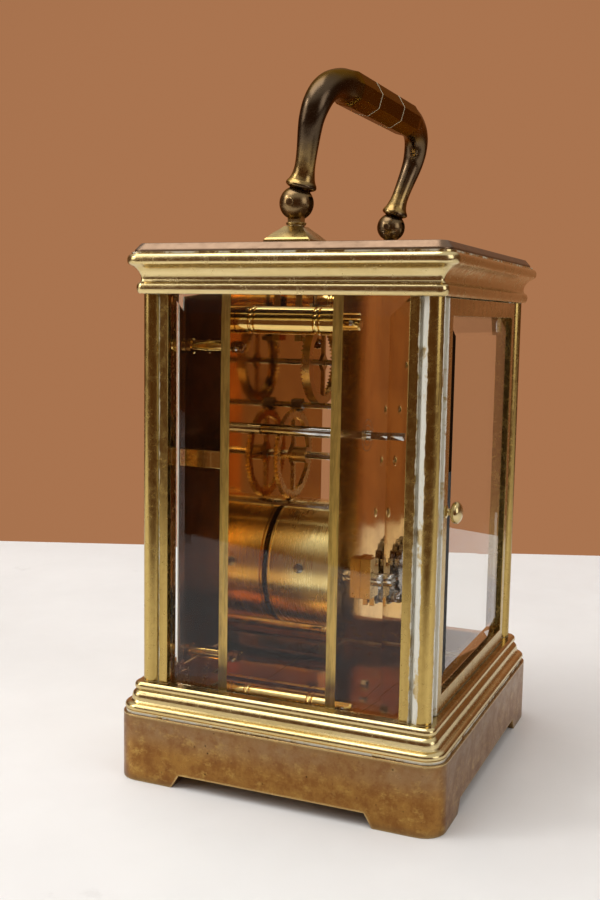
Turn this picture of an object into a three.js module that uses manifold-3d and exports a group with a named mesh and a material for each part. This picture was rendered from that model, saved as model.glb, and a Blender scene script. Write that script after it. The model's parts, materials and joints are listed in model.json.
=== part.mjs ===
// A brass carriage clock: glazed case with a bail handle, an eight-day movement and a platform escapement.
// Millimetres, +Z up. The dial faces -Y, the rear door opens at +Y, and the clock stands on Z = 0.
import * as THREE from "three";
import { mergeVertices } from "three/addons/utils/BufferGeometryUtils.js";
import Module from "manifold-3d";

const wasm = await Module();
wasm.setup();

// ---------------------------------------------------------------- driving dimensions
// case
const HALF_X = 47.3; // plinth half width
const HALF_Y = 43.2; // plinth half depth
const PLINTH_H = 17.35;
const PLINTH_R = 5.7; // vertical corner radius
const PLINTH_WALL = 4.4;
const FOOT_GAP_H = 3.4; // height of the cut-outs between the bracket feet
const BASE_TOP = 24.9; // top of the stepped base moulding
const BASE_LEDGE = -8.2; // inner edge of the base moulding, from the plinth outline
const CORNICE_LEDGE = 12.2; // width of the cornice, from the plinth outline inwards
const CORNICE_Z0 = 123.8;
const CORNICE_Z1 = 133.8;
const TOP_Z = 136; // upper face of the top plate
const TOP_X = 44.6; // half extents of the top plate at its foot
const TOP_Y = 40.5;
const TOP_SLOPE = 1.4; // how far its edge slopes in
const POST_X = 42.6; // outer extent of the corner columns
const POST_Y = 38.6;
const COLUMN_R = 2.5;
const GLASS_T = 2.5;
const BEVEL_W = 4.6; // width of the polished bevel of each glass
const EDGE_T = 1.3; // thickness of a glass at its edge
const DOOR_X = 35.2; // half width of the rear door frame
const DOOR_Y0 = 34.7;
const DOOR_Y1 = 38.1;
const DOOR_STILE = 4.2;
const DOOR_GAP = 0.2;
// handle
const PIVOT_X = 35.3; // half distance between the handle's pivot balls
const PIVOT_Z = 145.45;
const HANDLE_TILT = 15; // degrees that the bail leans back towards the door
const BALL_R = 4.1;
const GRIP_R = 4.6;
// movement
const PLATE_X = 31.5; // half width of the movement plates
const PLATE_Z0 = 17.35;
const PLATE_Z1 = 124.6;
const FRONT_Y0 = -21.4;
const FRONT_Y1 = -18.9;
const BACK_Y0 = 8.6;
const BACK_Y1 = 11.2;
const PILLAR_X = 26.5;
const PILLAR_TOP_Z = 117.1;
const PILLAR_BOTTOM_Z = 21.9;
const PILLAR_R = 2.85;
// arbor centres in the X-Z plane
const BARREL = [-8.6, 49.0];
const INTER = [3.8, 67.3];
const CENTRE = [0, 80.8];
const THIRD = [-2.2, 94.4];
const CONTRATE = [-6.0, 106.2];
const SETTING = [11.9, 88.6];
const BARREL_R = 18;
// tooth counts
const N_BARREL = 78, N_INTER_PINION = 12;
const N_INTER = 60, N_CENTRE_PINION = 12;
const N_CENTRE = 64, N_THIRD_PINION = 8;
const N_THIRD = 60, N_CONTRATE_PINION = 8;
const N_CONTRATE = 60, N_ESCAPE_PINION = 6;
const N_CANNON = 12, N_MINUTE = 36, N_MINUTE_PINION = 9, N_HOUR = 36;
const CONTRATE_R = 10.9;
const CONTRATE_PITCH_Y = -10.6;
// platform
const PLATFORM_Z0 = 124.7;
const PLATFORM_Z1 = 126.2;
const LEVER_AT = [-2.3, -8.4];
const BALANCE_AT = [2.2, -3.2];
const BALANCE_R = 6.4;
// dial
const DIAL_Y0 = -33.1;
const DIAL_Y1 = -32.0;

// ---------------------------------------------------------------- helpers
const rad = (d) => (d * Math.PI) / 180;

function solid(geometry) {
  const g = geometry.index ? geometry.toNonIndexed() : geometry.clone();
  g.deleteAttribute("normal");
  g.deleteAttribute("uv");
  const merged = mergeVertices(g, 1e-4);
  const p = merged.attributes.position.array;
  const t = merged.index.array;
  const kept = [];
  let volume = 0;
  for (let i = 0; i < t.length; i += 3) {
    const [a, b, c] = [t[i], t[i + 1], t[i + 2]];
    if (a === b || b === c || a === c) continue;
    kept.push(a, b, c);
    const [ax, ay, az] = [p[3 * a], p[3 * a + 1], p[3 * a + 2]];
    const [bx, by, bz] = [p[3 * b], p[3 * b + 1], p[3 * b + 2]];
    const [cx, cy, cz] = [p[3 * c], p[3 * c + 1], p[3 * c + 2]];
    volume +=
      ax * (by * cz - bz * cy) - ay * (bx * cz - bz * cx) + az * (bx * cy - by * cx);
  }
  if (volume < 0)
    for (let i = 0; i < kept.length; i += 3)
      [kept[i + 1], kept[i + 2]] = [kept[i + 2], kept[i + 1]];
  return new wasm.Manifold(
    new wasm.Mesh({
      numProp: 3,
      vertProperties: new Float32Array(p),
      triVerts: new Uint32Array(kept),
    }),
  );
}

function geometryOf(manifold) {
  const m = manifold.getMesh();
  const v = new Float32Array(m.numVert * 3);
  for (let i = 0; i < m.numVert; i++)
    v.set(m.vertProperties.subarray(i * m.numProp, i * m.numProp + 3), i * 3);
  const g = new THREE.BufferGeometry();
  g.setAttribute("position", new THREE.BufferAttribute(v, 3));
  g.setIndex(new THREE.BufferAttribute(new Uint32Array(m.triVerts), 1));
  return g;
}

const shapeOf = (points, holes = []) => {
  const s = new THREE.Shape(points.map(([x, y]) => new THREE.Vector2(x, y)));
  for (const h of holes)
    s.holes.push(new THREE.Path(h.map(([x, y]) => new THREE.Vector2(x, y))));
  return s;
};
const extrude = (shape, depth) =>
  new THREE.ExtrudeGeometry(shape, { depth, steps: 1, bevelEnabled: false });
// (x, y) of the outline stay X, Y
const alongZ = (shape, z0, z1) => extrude(shape, z1 - z0).translate(0, 0, z0);
// (x, y) of the outline become X, Z
const alongY = (shape, y0, y1) =>
  extrude(shape, y1 - y0).rotateX(Math.PI / 2).translate(0, y1, 0);
// (x, y) of the outline become Y, Z
const alongX = (shape, x0, x1) =>
  extrude(shape, x1 - x0)
    .applyMatrix4(
      new THREE.Matrix4().makeBasis(
        new THREE.Vector3(0, 1, 0),
        new THREE.Vector3(0, 0, 1),
        new THREE.Vector3(1, 0, 0),
      ),
    )
    .translate(x0, 0, 0);
const box = (x0, x1, y0, y1, z0, z1) =>
  new THREE.BoxGeometry(x1 - x0, y1 - y0, z1 - z0).translate(
    (x0 + x1) / 2,
    (y0 + y1) / 2,
    (z0 + z1) / 2,
  );
// a turned piece: [radius, station] pairs along its axis
const turned = (profile, sides) =>
  new THREE.LatheGeometry(profile.map(([r, y]) => new THREE.Vector2(r, y)), sides);
const turnedY = (profile, sides, x, z) => turned(profile, sides).translate(x, 0, z);
const turnedZ = (profile, sides, x, y) =>
  turned(profile, sides).rotateX(Math.PI / 2).translate(x, y, 0);
const turnedX = (profile, sides, y, z) =>
  turned(profile, sides).rotateZ(-Math.PI / 2).translate(0, y, z);
const rod = (r, a, b) => [[0, a], [r, a], [r, b], [0, b]];
const circle = (r, n, cx = 0, cy = 0, a0 = 0) =>
  Array.from({ length: n }, (_, i) => {
    const a = a0 + (2 * Math.PI * i) / n;
    return [cx + r * Math.cos(a), cy + r * Math.sin(a)];
  });
// a polygonal hole whose flats clear a round of radius r
const bore = (r, n, cx = 0, cy = 0) => circle((r + 0.04) / Math.cos(Math.PI / n), n, cx, cy);

function roundedRect(hx, hy, r, n) {
  const out = [];
  const corners = [[1, 1, 0], [-1, 1, 90], [-1, -1, 180], [1, -1, 270]];
  for (const [sx, sy, a0] of corners)
    for (let i = 0; i <= n; i++) {
      const a = rad(a0 + (90 * i) / n);
      out.push([sx * (hx - r) + r * Math.cos(a), sy * (hy - r) + r * Math.sin(a)]);
    }
  return out;
}

// a closed skin through rings of points; the last ring joins the first (loop) or both ends are capped
function skin(rings, loop) {
  const n = rings[0].length;
  const pos = rings.flat(2);
  const idx = [];
  const last = loop ? rings.length : rings.length - 1;
  for (let i = 0; i < last; i++)
    for (let j = 0; j < n; j++) {
      const a = i * n + j, b = i * n + ((j + 1) % n);
      const c = ((i + 1) % rings.length) * n + j;
      const d = ((i + 1) % rings.length) * n + ((j + 1) % n);
      idx.push(a, b, d, a, d, c);
    }
  if (!loop) {
    const e = (rings.length - 1) * n;
    for (let j = 1; j < n - 1; j++) {
      idx.push(0, j + 1, j);
      idx.push(e, e + j, e + j + 1);
    }
  }
  const g = new THREE.BufferGeometry();
  g.setAttribute("position", new THREE.BufferAttribute(new Float32Array(pos), 3));
  g.setIndex(idx);
  return g;
}

// a moulded frame: the profile lists [offset from the plinth outline, height]
function moulding(profile, cornerSteps) {
  return skin(
    profile.map(([o, z]) =>
      roundedRect(HALF_X + o, HALF_Y + o, Math.max(1.2, PLINTH_R + o), cornerSteps).map(
        ([x, y]) => [x, y, z],
      ),
    ),
    true,
  );
}

// outline of a wheel with pointed teeth; phase puts a tooth at that angle
function teeth(n, pitchR, phase) {
  const add = (0.5 * Math.PI * pitchR) / n;
  const ded = (0.92 * Math.PI * pitchR) / n;
  const out = [];
  for (let i = 0; i < n; i++) {
    const a = phase + (2 * Math.PI * i) / n;
    out.push([(pitchR + add) * Math.cos(a), (pitchR + add) * Math.sin(a)]);
    const b = a + Math.PI / n;
    out.push([(pitchR - ded) * Math.cos(b), (pitchR - ded) * Math.sin(b)]);
  }
  return out;
}
// the windows between the spokes of a wheel
function crossings(count, r0, r1, spoke, turn = 0) {
  const out = [];
  for (let i = 0; i < count; i++) {
    const a0 = turn + (2 * Math.PI * i) / count, a1 = a0 + (2 * Math.PI) / count;
    const ring = [];
    const at = (r, side) => {
      const h = Math.asin(spoke / 2 / r);
      return side ? a1 - h : a0 + h;
    };
    for (let k = 0; k <= 3; k++) {
      const a = at(r1, 0) + ((at(r1, 1) - at(r1, 0)) * k) / 3;
      ring.push([r1 * Math.cos(a), r1 * Math.sin(a)]);
    }
    ring.push([r0 * Math.cos(at(r0, 1)), r0 * Math.sin(at(r0, 1))]);
    ring.push([r0 * Math.cos(at(r0, 0)), r0 * Math.sin(at(r0, 0))]);
    out.push(ring);
  }
  return out;
}
const moved = (pts, [cx, cy]) => pts.map(([x, y]) => [x + cx, y + cy]);
const angleTo = (a, b) => Math.atan2(b[1] - a[1], b[0] - a[0]);
const gap = (a, b) => Math.hypot(b[0] - a[0], b[1] - a[1]);
// pitch radii of a pair on given centres
const pitch = (a, b, na, nb) => [
  (gap(a, b) * na) / (na + nb),
  (gap(a, b) * nb) / (na + nb),
];
// the phase that lets wheel b (nb teeth) mesh with wheel a (na teeth, phase pa)
function meshPhase(a, b, na, pa, nb) {
  const al = angleTo(a, b);
  const fa = (na * (al - pa)) / (2 * Math.PI);
  const fb = 0.5 - fa;
  return al + Math.PI - (2 * Math.PI * fb) / nb;
}

// ---------------------------------------------------------------- materials
const mat = (color, roughness, metalness) =>
  new THREE.MeshStandardMaterial({ color, roughness, metalness });
const BRASS = () => mat(0xb08d3a, 0.3, 1);
const CAST_BRASS = () => mat(0x8a6232, 0.42, 1);
const BRONZE = () => mat(0x4a3826, 0.35, 1);
const STEEL = () => mat(0xb9bcc0, 0.22, 1);
const BLUED = () => mat(0x1f2c55, 0.3, 1);
const GLASS = () => {
  const m = mat(0xdfe8e4, 0.05, 0);
  m.transparent = true;
  m.opacity = 0.25;
  return m;
};
const ENAMEL = () => mat(0xf3efe4, 0.3, 0);

const clock = new THREE.Group();
const caseGroup = new THREE.Group();
const movement = new THREE.Group();
clock.add(caseGroup, movement);
function add(group, name, body, material) {
  const s = typeof body.volume === "function" ? body : solid(body);
  const mesh = new THREE.Mesh(geometryOf(s), material);
  mesh.name = name;
  group.add(mesh);
}

// ---------------------------------------------------------------- case
{
  // plinth: a rounded skirt with bracket feet
  const skirt = shapeOf(roundedRect(HALF_X, HALF_Y, PLINTH_R, 6), [
    roundedRect(HALF_X - PLINTH_WALL, HALF_Y - PLINTH_WALL, 1.6, 2),
  ]);
  let s = solid(alongZ(skirt, 0, PLINTH_H));
  const cut = (half) =>
    shapeOf([
      [-half, -1],
      [-half, 0],
      [-half + 2.1, FOOT_GAP_H],
      [half - 2.1, FOOT_GAP_H],
      [half, 0],
      [half, -1],
    ]);
  s = s.subtract(solid(alongX(cut(26.8), -HALF_X - 5, HALF_X + 5)));
  s = s.subtract(solid(alongY(cut(31.2), -HALF_Y - 5, HALF_Y + 5)));
  add(caseGroup, "plinth", s, CAST_BRASS());
  add(
    caseGroup,
    "base_plate",
    alongZ(
      shapeOf(roundedRect(HALF_X - PLINTH_WALL - 0.1, HALF_Y - PLINTH_WALL - 0.1, 1.6, 2)),
      14.9,
      PLATE_Z0 - 0.05,
    ),
    CAST_BRASS(),
  );
}

const HINGE = [-(DOOR_X - 1.7), (DOOR_Y0 + DOOR_Y1) / 2];
const HINGE_R = 0.8;
{
  const inner = -CORNICE_LEDGE;
  let s = solid(
    moulding(
      [
        [-0.7, PLINTH_H + 0.02],
        [-0.7, 18.1],
        [-0.45, 18.6],
        [-0.55, 19.3],
        [-1.05, 19.75],
        [-1.9, 19.95],
        [-2.2, 20.4],
        [-2.2, 21.2],
        [-2.5, 22.0],
        [-3.1, 22.5],
        [-3.45, 22.9],
        [-3.0, 23.3],
        [-2.9, 23.9],
        [-3.1, 24.5],
        [-3.6, BASE_TOP],
        [BASE_LEDGE, BASE_TOP],
        [BASE_LEDGE, PLINTH_H + 0.02],
      ],
      4,
    ),
  );
  s = s.subtract(
    solid(turnedZ(rod(HINGE_R + 0.06, BASE_TOP - 2.7, BASE_TOP + 1), 10, HINGE[0], HINGE[1])),
  );
  add(caseGroup, "base_moulding", s, BRASS());

  let c = solid(
    moulding(
      [
        [inner, CORNICE_Z0],
        [-3.9, CORNICE_Z0],
        [-3.5, 124.3],
        [-3.3, 125.2],
        [-3.5, 126.1],
        [-4.15, 126.6],
        [-4.45, 127.2],
        [-4.4, 127.9],
        [-4.15, 128.6],
        [-3.6, 129.4],
        [-2.85, 130.1],
        [-1.9, 130.6],
        [-1.3, 130.95],
        [-1.05, 131.5],
        [-1.05, 132.4],
        [-1.45, 133.1],
        [-2.1, 133.4],
        [-2.1, CORNICE_Z1],
        [inner, CORNICE_Z1],
      ],
      4,
    ),
  );
  c = c.subtract(
    solid(turnedZ(rod(HINGE_R + 0.06, CORNICE_Z0 - 1, CORNICE_Z0 + 2.7), 10, HINGE[0], HINGE[1])),
  );
  add(caseGroup, "cornice", c, BRASS());
}

// corner posts: a round column in the corner between two quirks, with flat fillets beside the glass
function postOutline(sx, sy) {
  const cx = POST_X - COLUMN_R, cy = POST_Y - COLUMN_R;
  const arc = (a0, a1, n) =>
    Array.from({ length: n + 1 }, (_, i) => {
      const a = rad(a0 + ((a1 - a0) * i) / n);
      return [cx + COLUMN_R * Math.cos(a), cy + COLUMN_R * Math.sin(a)];
    });
  const flat = 42.2, quirk = 40.9;
  const pts =
    sy > 0
      ? [[35.5, 31.0], [flat, 31.0], [flat, 33.4], [quirk, 33.4], ...arc(-71, 161, 9), [35.5, 36.9]]
      : [
          [36.2, 31.0], [flat, 31.0], [flat, 33.4], [quirk, 33.4], ...arc(-71, 161, 9),
          [37.4, 36.9], [37.4, 38.2], [35.1, 38.2], [35.1, 35.4], [36.2, 35.4],
        ];
  return pts.map(([x, y]) => [x * sx, y * sy]);
}
for (const [name, sx, sy] of [
  ["post_front_left", -1, -1],
  ["post_front_right", 1, -1],
  ["post_rear_left", -1, 1],
  ["post_rear_right", 1, 1],
])
  add(
    caseGroup,
    name,
    alongZ(shapeOf(postOutline(sx, sy)), BASE_TOP + 0.02, CORNICE_Z0 - 0.02),
    BRASS(),
  );

// bevelled glass in local u, v, w: w = 0 is the flat inner face
function glassRings(u0, u1, v0, v1, t, place) {
  const ring = (i, w) =>
    [[u0 + i, v0 + i], [u1 - i, v0 + i], [u1 - i, v1 - i], [u0 + i, v1 - i]].map(([u, v]) =>
      place(u, v, w),
    );
  return skin([ring(0, 0), ring(0, EDGE_T), ring(BEVEL_W, t)], false);
}
const GLASS_Z0 = BASE_TOP + 0.05, GLASS_Z1 = CORNICE_Z0 - 0.05;
add(
  caseGroup,
  "glass_right",
  glassRings(-30.9, 30.9, GLASS_Z0, GLASS_Z1, GLASS_T, (u, v, w) => [39.3 + w, u, v]),
  GLASS(),
);
add(
  caseGroup,
  "glass_left",
  glassRings(-30.9, 30.9, GLASS_Z0, GLASS_Z1, GLASS_T, (u, v, w) => [-39.3 - w, u, v]),
  GLASS(),
);
add(
  caseGroup,
  "glass_front",
  glassRings(-35.0, 35.0, GLASS_Z0, GLASS_Z1, 2.2, (u, v, w) => [u, -35.9 - w, v]),
  GLASS(),
);

// top plate with its bevelled viewing glass
{
  const ring = (hx, hy, r, z) => roundedRect(hx, hy, r, 4).map(([x, y]) => [x, y, z]);
  let s = solid(
    skin(
      [
        ring(TOP_X, TOP_Y, 3.4, CORNICE_Z1 + 0.02),
        ring(TOP_X, TOP_Y, 3.4, CORNICE_Z1 + 0.55),
        ring(TOP_X - TOP_SLOPE, TOP_Y - TOP_SLOPE, 2.6, TOP_Z),
      ],
      false,
    ),
  );
  s = s.subtract(solid(box(-26.6, 26.6, -22.6, 22.6, CORNICE_Z1 - 1, TOP_Z + 1)));
  s = s.subtract(solid(box(-28, 28, -24, 24, 134.3, TOP_Z + 1)));
  add(caseGroup, "top_plate", s, CAST_BRASS());
  add(
    caseGroup,
    "top_glass",
    glassRings(-27.9, 27.9, -23.9, 23.9, 1.6, (u, v, w) => [u, v, 134.35 + w]),
    GLASS(),
  );
}

// rear door, hinged on its -X edge
{
  const z0 = BASE_TOP + DOOR_GAP, z1 = CORNICE_Z0 - DOOR_GAP;
  const edge = [];
  for (let i = 0; i <= 6; i++) {
    const a = rad(90 + 30 * i);
    edge.push([HINGE[0] + 1.7 * Math.cos(a), HINGE[1] + 1.7 * Math.sin(a)]);
  }
  const plan = shapeOf([[DOOR_X, DOOR_Y0], [DOOR_X, DOOR_Y1], ...edge]);
  let s = solid(alongZ(plan, z0, z1));
  s = s.subtract(
    solid(
      box(-DOOR_X + DOOR_STILE, DOOR_X - DOOR_STILE, DOOR_Y0 - 1, DOOR_Y1 + 1, z0 + DOOR_STILE, z1 - DOOR_STILE),
    ),
  );
  for (const [a, b] of [[z0 - 1, z0 + 2.7], [z1 - 2.7, z1 + 1]])
    s = s.subtract(solid(turnedZ(rod(HINGE_R + 0.1, a, b), 10, HINGE[0], HINGE[1])));
  add(caseGroup, "door_frame", s, BRASS());
  add(
    caseGroup,
    "door_glass",
    glassRings(
      -DOOR_X + DOOR_STILE + 0.05,
      DOOR_X - DOOR_STILE - 0.05,
      z0 + DOOR_STILE + 0.05,
      z1 - DOOR_STILE - 0.05,
      2.3,
      (u, v, w) => [u, DOOR_Y0 + 0.5 + w, v],
    ),
    GLASS(),
  );
  add(
    caseGroup,
    "door_knob",
    turnedY(
      [
        [0, DOOR_Y1 + 0.02], [1.5, DOOR_Y1 + 0.02], [1.5, DOOR_Y1 + 0.4], [0.9, DOOR_Y1 + 0.8],
        [0.9, DOOR_Y1 + 1.6], [2.1, DOOR_Y1 + 1.95], [2.6, DOOR_Y1 + 2.6], [2.45, DOOR_Y1 + 3.3],
        [1.7, DOOR_Y1 + 3.9], [0, DOOR_Y1 + 4.15],
      ],
      14,
      DOOR_X - 2.1,
      74,
    ),
    BRASS(),
  );
  add(
    caseGroup,
    "hinge_pin_bottom",
    turnedZ(rod(HINGE_R, BASE_TOP - 2.5, z0 + 2.5), 10, HINGE[0], HINGE[1]),
    STEEL(),
  );
  add(
    caseGroup,
    "hinge_pin_top",
    turnedZ(rod(HINGE_R, z1 - 2.5, CORNICE_Z0 + 2.5), 10, HINGE[0], HINGE[1]),
    STEEL(),
  );
}

// ---------------------------------------------------------------- handle
const SLOT = 2.9; // width of the slot in each ball
const TONGUE = 2.5;
const PIN_R = 0.9;
for (const [side, sx] of [["right", 1], ["left", -1]]) {
  const x = sx * PIVOT_X;
  // foot: a square concave pyramid that rises to a turned neck and a flat tongue
  const ring = (h, z) => [[x - h, -h, z], [x + h, -h, z], [x + h, h, z], [x - h, h, z]];
  let s = solid(
    skin(
      [
        ring(5.9, TOP_Z + 0.02), ring(5.9, TOP_Z + 0.7), ring(5.2, TOP_Z + 1.4),
        ring(4.2, TOP_Z + 2.3), ring(3.2, TOP_Z + 3.1), ring(2.2, TOP_Z + 4.0),
      ],
      false,
    ),
  );
  s = s.add(
    solid(
      turnedZ(
        [[0, TOP_Z + 3.4], [2.0, TOP_Z + 3.4], [2.0, TOP_Z + 4.3], [2.4, TOP_Z + 4.6], [2.4, TOP_Z + 4.95], [0, TOP_Z + 4.95]],
        12, x, 0,
      ),
    ),
  );
  s = s.add(
    solid(turnedX(rod(3.1, x - TONGUE / 2, x + TONGUE / 2), 12, 0, PIVOT_Z)).add(
      solid(box(x - TONGUE / 2, x + TONGUE / 2, -1.7, 1.7, TOP_Z + 4.5, PIVOT_Z)),
    ),
  );
  s = s.subtract(solid(turnedX(rod(PIN_R + 0.08, x - 8, x + 8), 8, 0, PIVOT_Z)));
  add(caseGroup, "handle_post_" + side, s, BRASS());
  add(
    caseGroup,
    "handle_pin_" + side,
    turnedX(
      [
        [0, x - 4.3], [PIN_R, x - 4.3], [PIN_R, x + 4.3], [0, x + 4.3],
      ],
      8, 0, PIVOT_Z,
    ),
    STEEL(),
  );
}
{
  // bail: stations of [x, height above the pivots, radius]
  const half = [
    [35.3, 3.2, 2.6], [35.3, 3.75, 3.4], [35.3, 4.2, 3.7], [35.3, 4.75, 3.6], [35.35, 5.6, 3.15],
    [35.5, 6.9, 2.7], [35.9, 8.7, 2.45], [36.6, 11.2, 2.45], [37.5, 14.0, 2.6], [38.4, 16.8, 2.8],
    [38.9, 19.5, 3.0], [38.4, 22.6, 3.25], [36.6, 25.6, 3.4], [33.6, 27.7, 3.5], [29.8, 28.9, 3.7],
    [26.0, 29.4, 4.1], [23.0, 29.5, GRIP_R],
  ];
  const line = [...half, ...half.slice().reverse().map(([x, t, r]) => [-x, t, r])];
  const tilt = rad(HANDLE_TILT);
  const place = (x, t, n) => [
    x,
    t * Math.sin(tilt) + n * Math.cos(tilt),
    PIVOT_Z + t * Math.cos(tilt) - n * Math.sin(tilt),
  ];
  const rings = line.map(([x, t, r], i) => {
    const a = line[Math.max(0, i - 1)], b = line[Math.min(line.length - 1, i + 1)];
    let dx = b[0] - a[0], dt = b[1] - a[1];
    if (i < 3) [dx, dt] = [0, 1];
    if (i > line.length - 4) [dx, dt] = [0, -1];
    const l = Math.hypot(dx, dt);
    const [nx, nt] = [-dt / l, dx / l];
    return Array.from({ length: 8 }, (_, k) => {
      const an = rad(22.5 + 45 * k);
      const u = (r / Math.cos(rad(11.25))) * Math.cos(an), w = (r / Math.cos(rad(11.25))) * Math.sin(an);
      return place(x + u * nx, t + u * nt, w);
    });
  });
  let s = solid(skin(rings, false));
  for (const sx of [1, -1]) {
    const x = sx * PIVOT_X;
    let ball = solid(new THREE.SphereGeometry(BALL_R, 12, 8).rotateZ(Math.PI / 2).translate(x, 0, PIVOT_Z));
    s = s.add(ball);
  }
  for (const sx of [1, -1]) {
    const x = sx * PIVOT_X;
    // the slot clears the tongue and its neck through the whole swing
    s = s.subtract(
      solid(turnedX(rod(3.6, x - SLOT / 2, x + SLOT / 2), 12, 0, PIVOT_Z)),
    );
    s = s.subtract(solid(turnedX(rod(PIN_R + 0.08, x - 8, x + 8), 8, 0, PIVOT_Z)));
    // open sector below, from front to back, where the tongue's stem passes as the bail folds
    const sector = [[0, PIVOT_Z]];
    for (let d = -230; d <= 20.1; d += 25) {
      const a = rad(d);
      sector.push([Math.cos(a) * 7, PIVOT_Z + Math.sin(a) * 7]);
    }
    s = s.subtract(solid(alongX(shapeOf(sector), x - SLOT / 2, x + SLOT / 2)));
  }
  add(caseGroup, "handle", s, BRONZE());
}

// ---------------------------------------------------------------- movement: plates, pillars, dial
const PIVOT_R = 0.65;
const holesIn = (list) => list.map(([r, n, c]) => bore(r, n, c[0], c[1]));
const plateOutline = (z1) => [[-PLATE_X, PLATE_Z0], [PLATE_X, PLATE_Z0], [PLATE_X, z1], [-PLATE_X, z1]];
const pillarSpots = [
  ["pillar_top_right", PILLAR_X, PILLAR_TOP_Z],
  ["pillar_top_left", -PILLAR_X, PILLAR_TOP_Z],
  ["pillar_bottom_right", PILLAR_X, PILLAR_BOTTOM_Z],
  ["pillar_bottom_left", -PILLAR_X, PILLAR_BOTTOM_Z],
];
const FEET = [[27.2, 110.8], [-27.2, 110.8], [27.2, 29.9], [-27.2, 29.9]];
const FOOT_R = 1.5;
// the minute wheel's stud stands at equal distance from the centre and the setting arbor
const MOTION_D = 8.4;
const STUD = (() => {
  const d = gap(CENTRE, SETTING), h = Math.sqrt(MOTION_D ** 2 - (d / 2) ** 2);
  const ux = (SETTING[0] - CENTRE[0]) / d, uz = (SETTING[1] - CENTRE[1]) / d;
  return [
    (CENTRE[0] + SETTING[0]) / 2 + uz * h,
    (CENTRE[1] + SETTING[1]) / 2 - ux * h,
  ];
})();
const STUD_R = 0.8;
{
  const pins = pillarSpots.map(([, x, z]) => [1.5, 10, [x, z]]);
  const pivots = [INTER, THIRD, CONTRATE].map((c) => [PIVOT_R, 8, c]);
  let f = solid(
    alongY(
      shapeOf(
        plateOutline(PLATE_Z1),
        holesIn([
          ...pins, ...pivots, [1.2, 10, CENTRE], [1.3, 10, SETTING], [1.6, 10, BARREL],
          ...FEET.map((c) => [FOOT_R, 10, c]),
        ]),
      ),
      FRONT_Y0, FRONT_Y1,
    ),
  );
  f = f.subtract(solid(turnedY(rod(STUD_R - 0.16, FRONT_Y0 - 1, FRONT_Y1 + 1), 10, STUD[0], STUD[1])));
  add(movement, "front_plate", f, BRASS());
  // stud of the minute wheel, riveted into the front plate
  add(
    movement,
    "minute_stud",
    turnedY(
      [
        [0, -30.4], [STUD_R, -30.4], [STUD_R, FRONT_Y0 - 0.02], [STUD_R - 0.2, FRONT_Y0 - 0.02],
        [STUD_R - 0.2, FRONT_Y1 - 0.1], [0, FRONT_Y1 - 0.1],
      ],
      10, STUD[0], STUD[1],
    ),
    STEEL(),
  );
  // bracket between the front plate and the dial's edge
  let b = solid(box(27.6, 31.3, -24.2, FRONT_Y0 - 0.02, 79.9, 84.3));
  b = b.add(solid(box(27.9, 31.0, DIAL_Y1 + 0.02, -24.0, 79.9, 84.3)));
  add(movement, "dial_bracket", b, BRASS());
  add(
    movement,
    "back_plate",
    alongY(
      shapeOf(
        plateOutline(PLATE_Z1),
        holesIn([...pins, ...pivots, [PIVOT_R, 8, CENTRE], [1.3, 10, SETTING], [2.0, 12, BARREL]]),
      ),
      BACK_Y0, BACK_Y1,
    ),
    BRASS(),
  );
}
for (const [name, x, z] of pillarSpots)
  add(
    movement,
    name,
    turnedY(
      [
        [0, FRONT_Y0 + 0.1], [1.5, FRONT_Y0 + 0.1], [1.5, FRONT_Y1 + 0.02], [PILLAR_R, FRONT_Y1 + 0.02],
        [PILLAR_R, -14.9], [2.35, -14.6], [2.35, -14.2], [PILLAR_R, -13.9],
        [PILLAR_R, 2.7], [2.35, 3.0], [2.35, 3.4], [PILLAR_R, 3.7],
        [PILLAR_R, BACK_Y0 - 0.02], [1.5, BACK_Y0 - 0.02], [1.5, BACK_Y1 + 2.4], [1.1, BACK_Y1 + 2.9], [0, BACK_Y1 + 2.9],
      ],
      10, x, z,
    ),
    BRASS(),
  );
{
  let d = solid(
    alongY(
      shapeOf(
        [[-30.6, 27.2], [30.6, 27.2], [30.6, 122.4], [-30.6, 122.4]],
        [bore(2.35, 14, CENTRE[0], CENTRE[1])],
      ),
      DIAL_Y0, DIAL_Y1,
    ),
  );
  for (const [x, z] of FEET)
    d = d.add(solid(turnedY(rod(FOOT_R, DIAL_Y1 - 0.5, FRONT_Y1 + 1.5), 10, x, z)));
  add(movement, "dial", d, ENAMEL());
}

// ---------------------------------------------------------------- going train
// Every arbor: [radius, y] profile with pivots running in the plates
const arborProfile = (r, y0 = FRONT_Y1 + 0.25, y1 = BACK_Y0 - 0.25) => [
  [0, FRONT_Y0 + 0.2], [PIVOT_R, FRONT_Y0 + 0.2], [PIVOT_R, y0], [r, y0], [r, y1],
  [PIVOT_R, y1], [PIVOT_R, BACK_Y1 - 0.2], [0, BACK_Y1 - 0.2],
];
const pinion = (n, r, phase, c, y0, y1) => solid(alongY(shapeOf(moved(teeth(n, r, phase), c)), y0, y1));
function wheel(n, r, phase, c, y0, y1, boreR, rim, hubR, spokes, spokeW) {
  const holes = [bore(boreR, 10)];
  if (spokes) holes.push(...crossings(spokes, hubR, r - rim, spokeW, phase));
  return solid(
    alongY(shapeOf(moved(teeth(n, r, phase), c), holes.map((h) => moved(h, c))), y0, y1),
  );
}
const collar = (rOut, boreR, c, y0, y1) =>
  solid(alongY(shapeOf(circle(rOut, 12, c[0], c[1]), [bore(boreR, 10, c[0], c[1])]), y0, y1));

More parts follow.
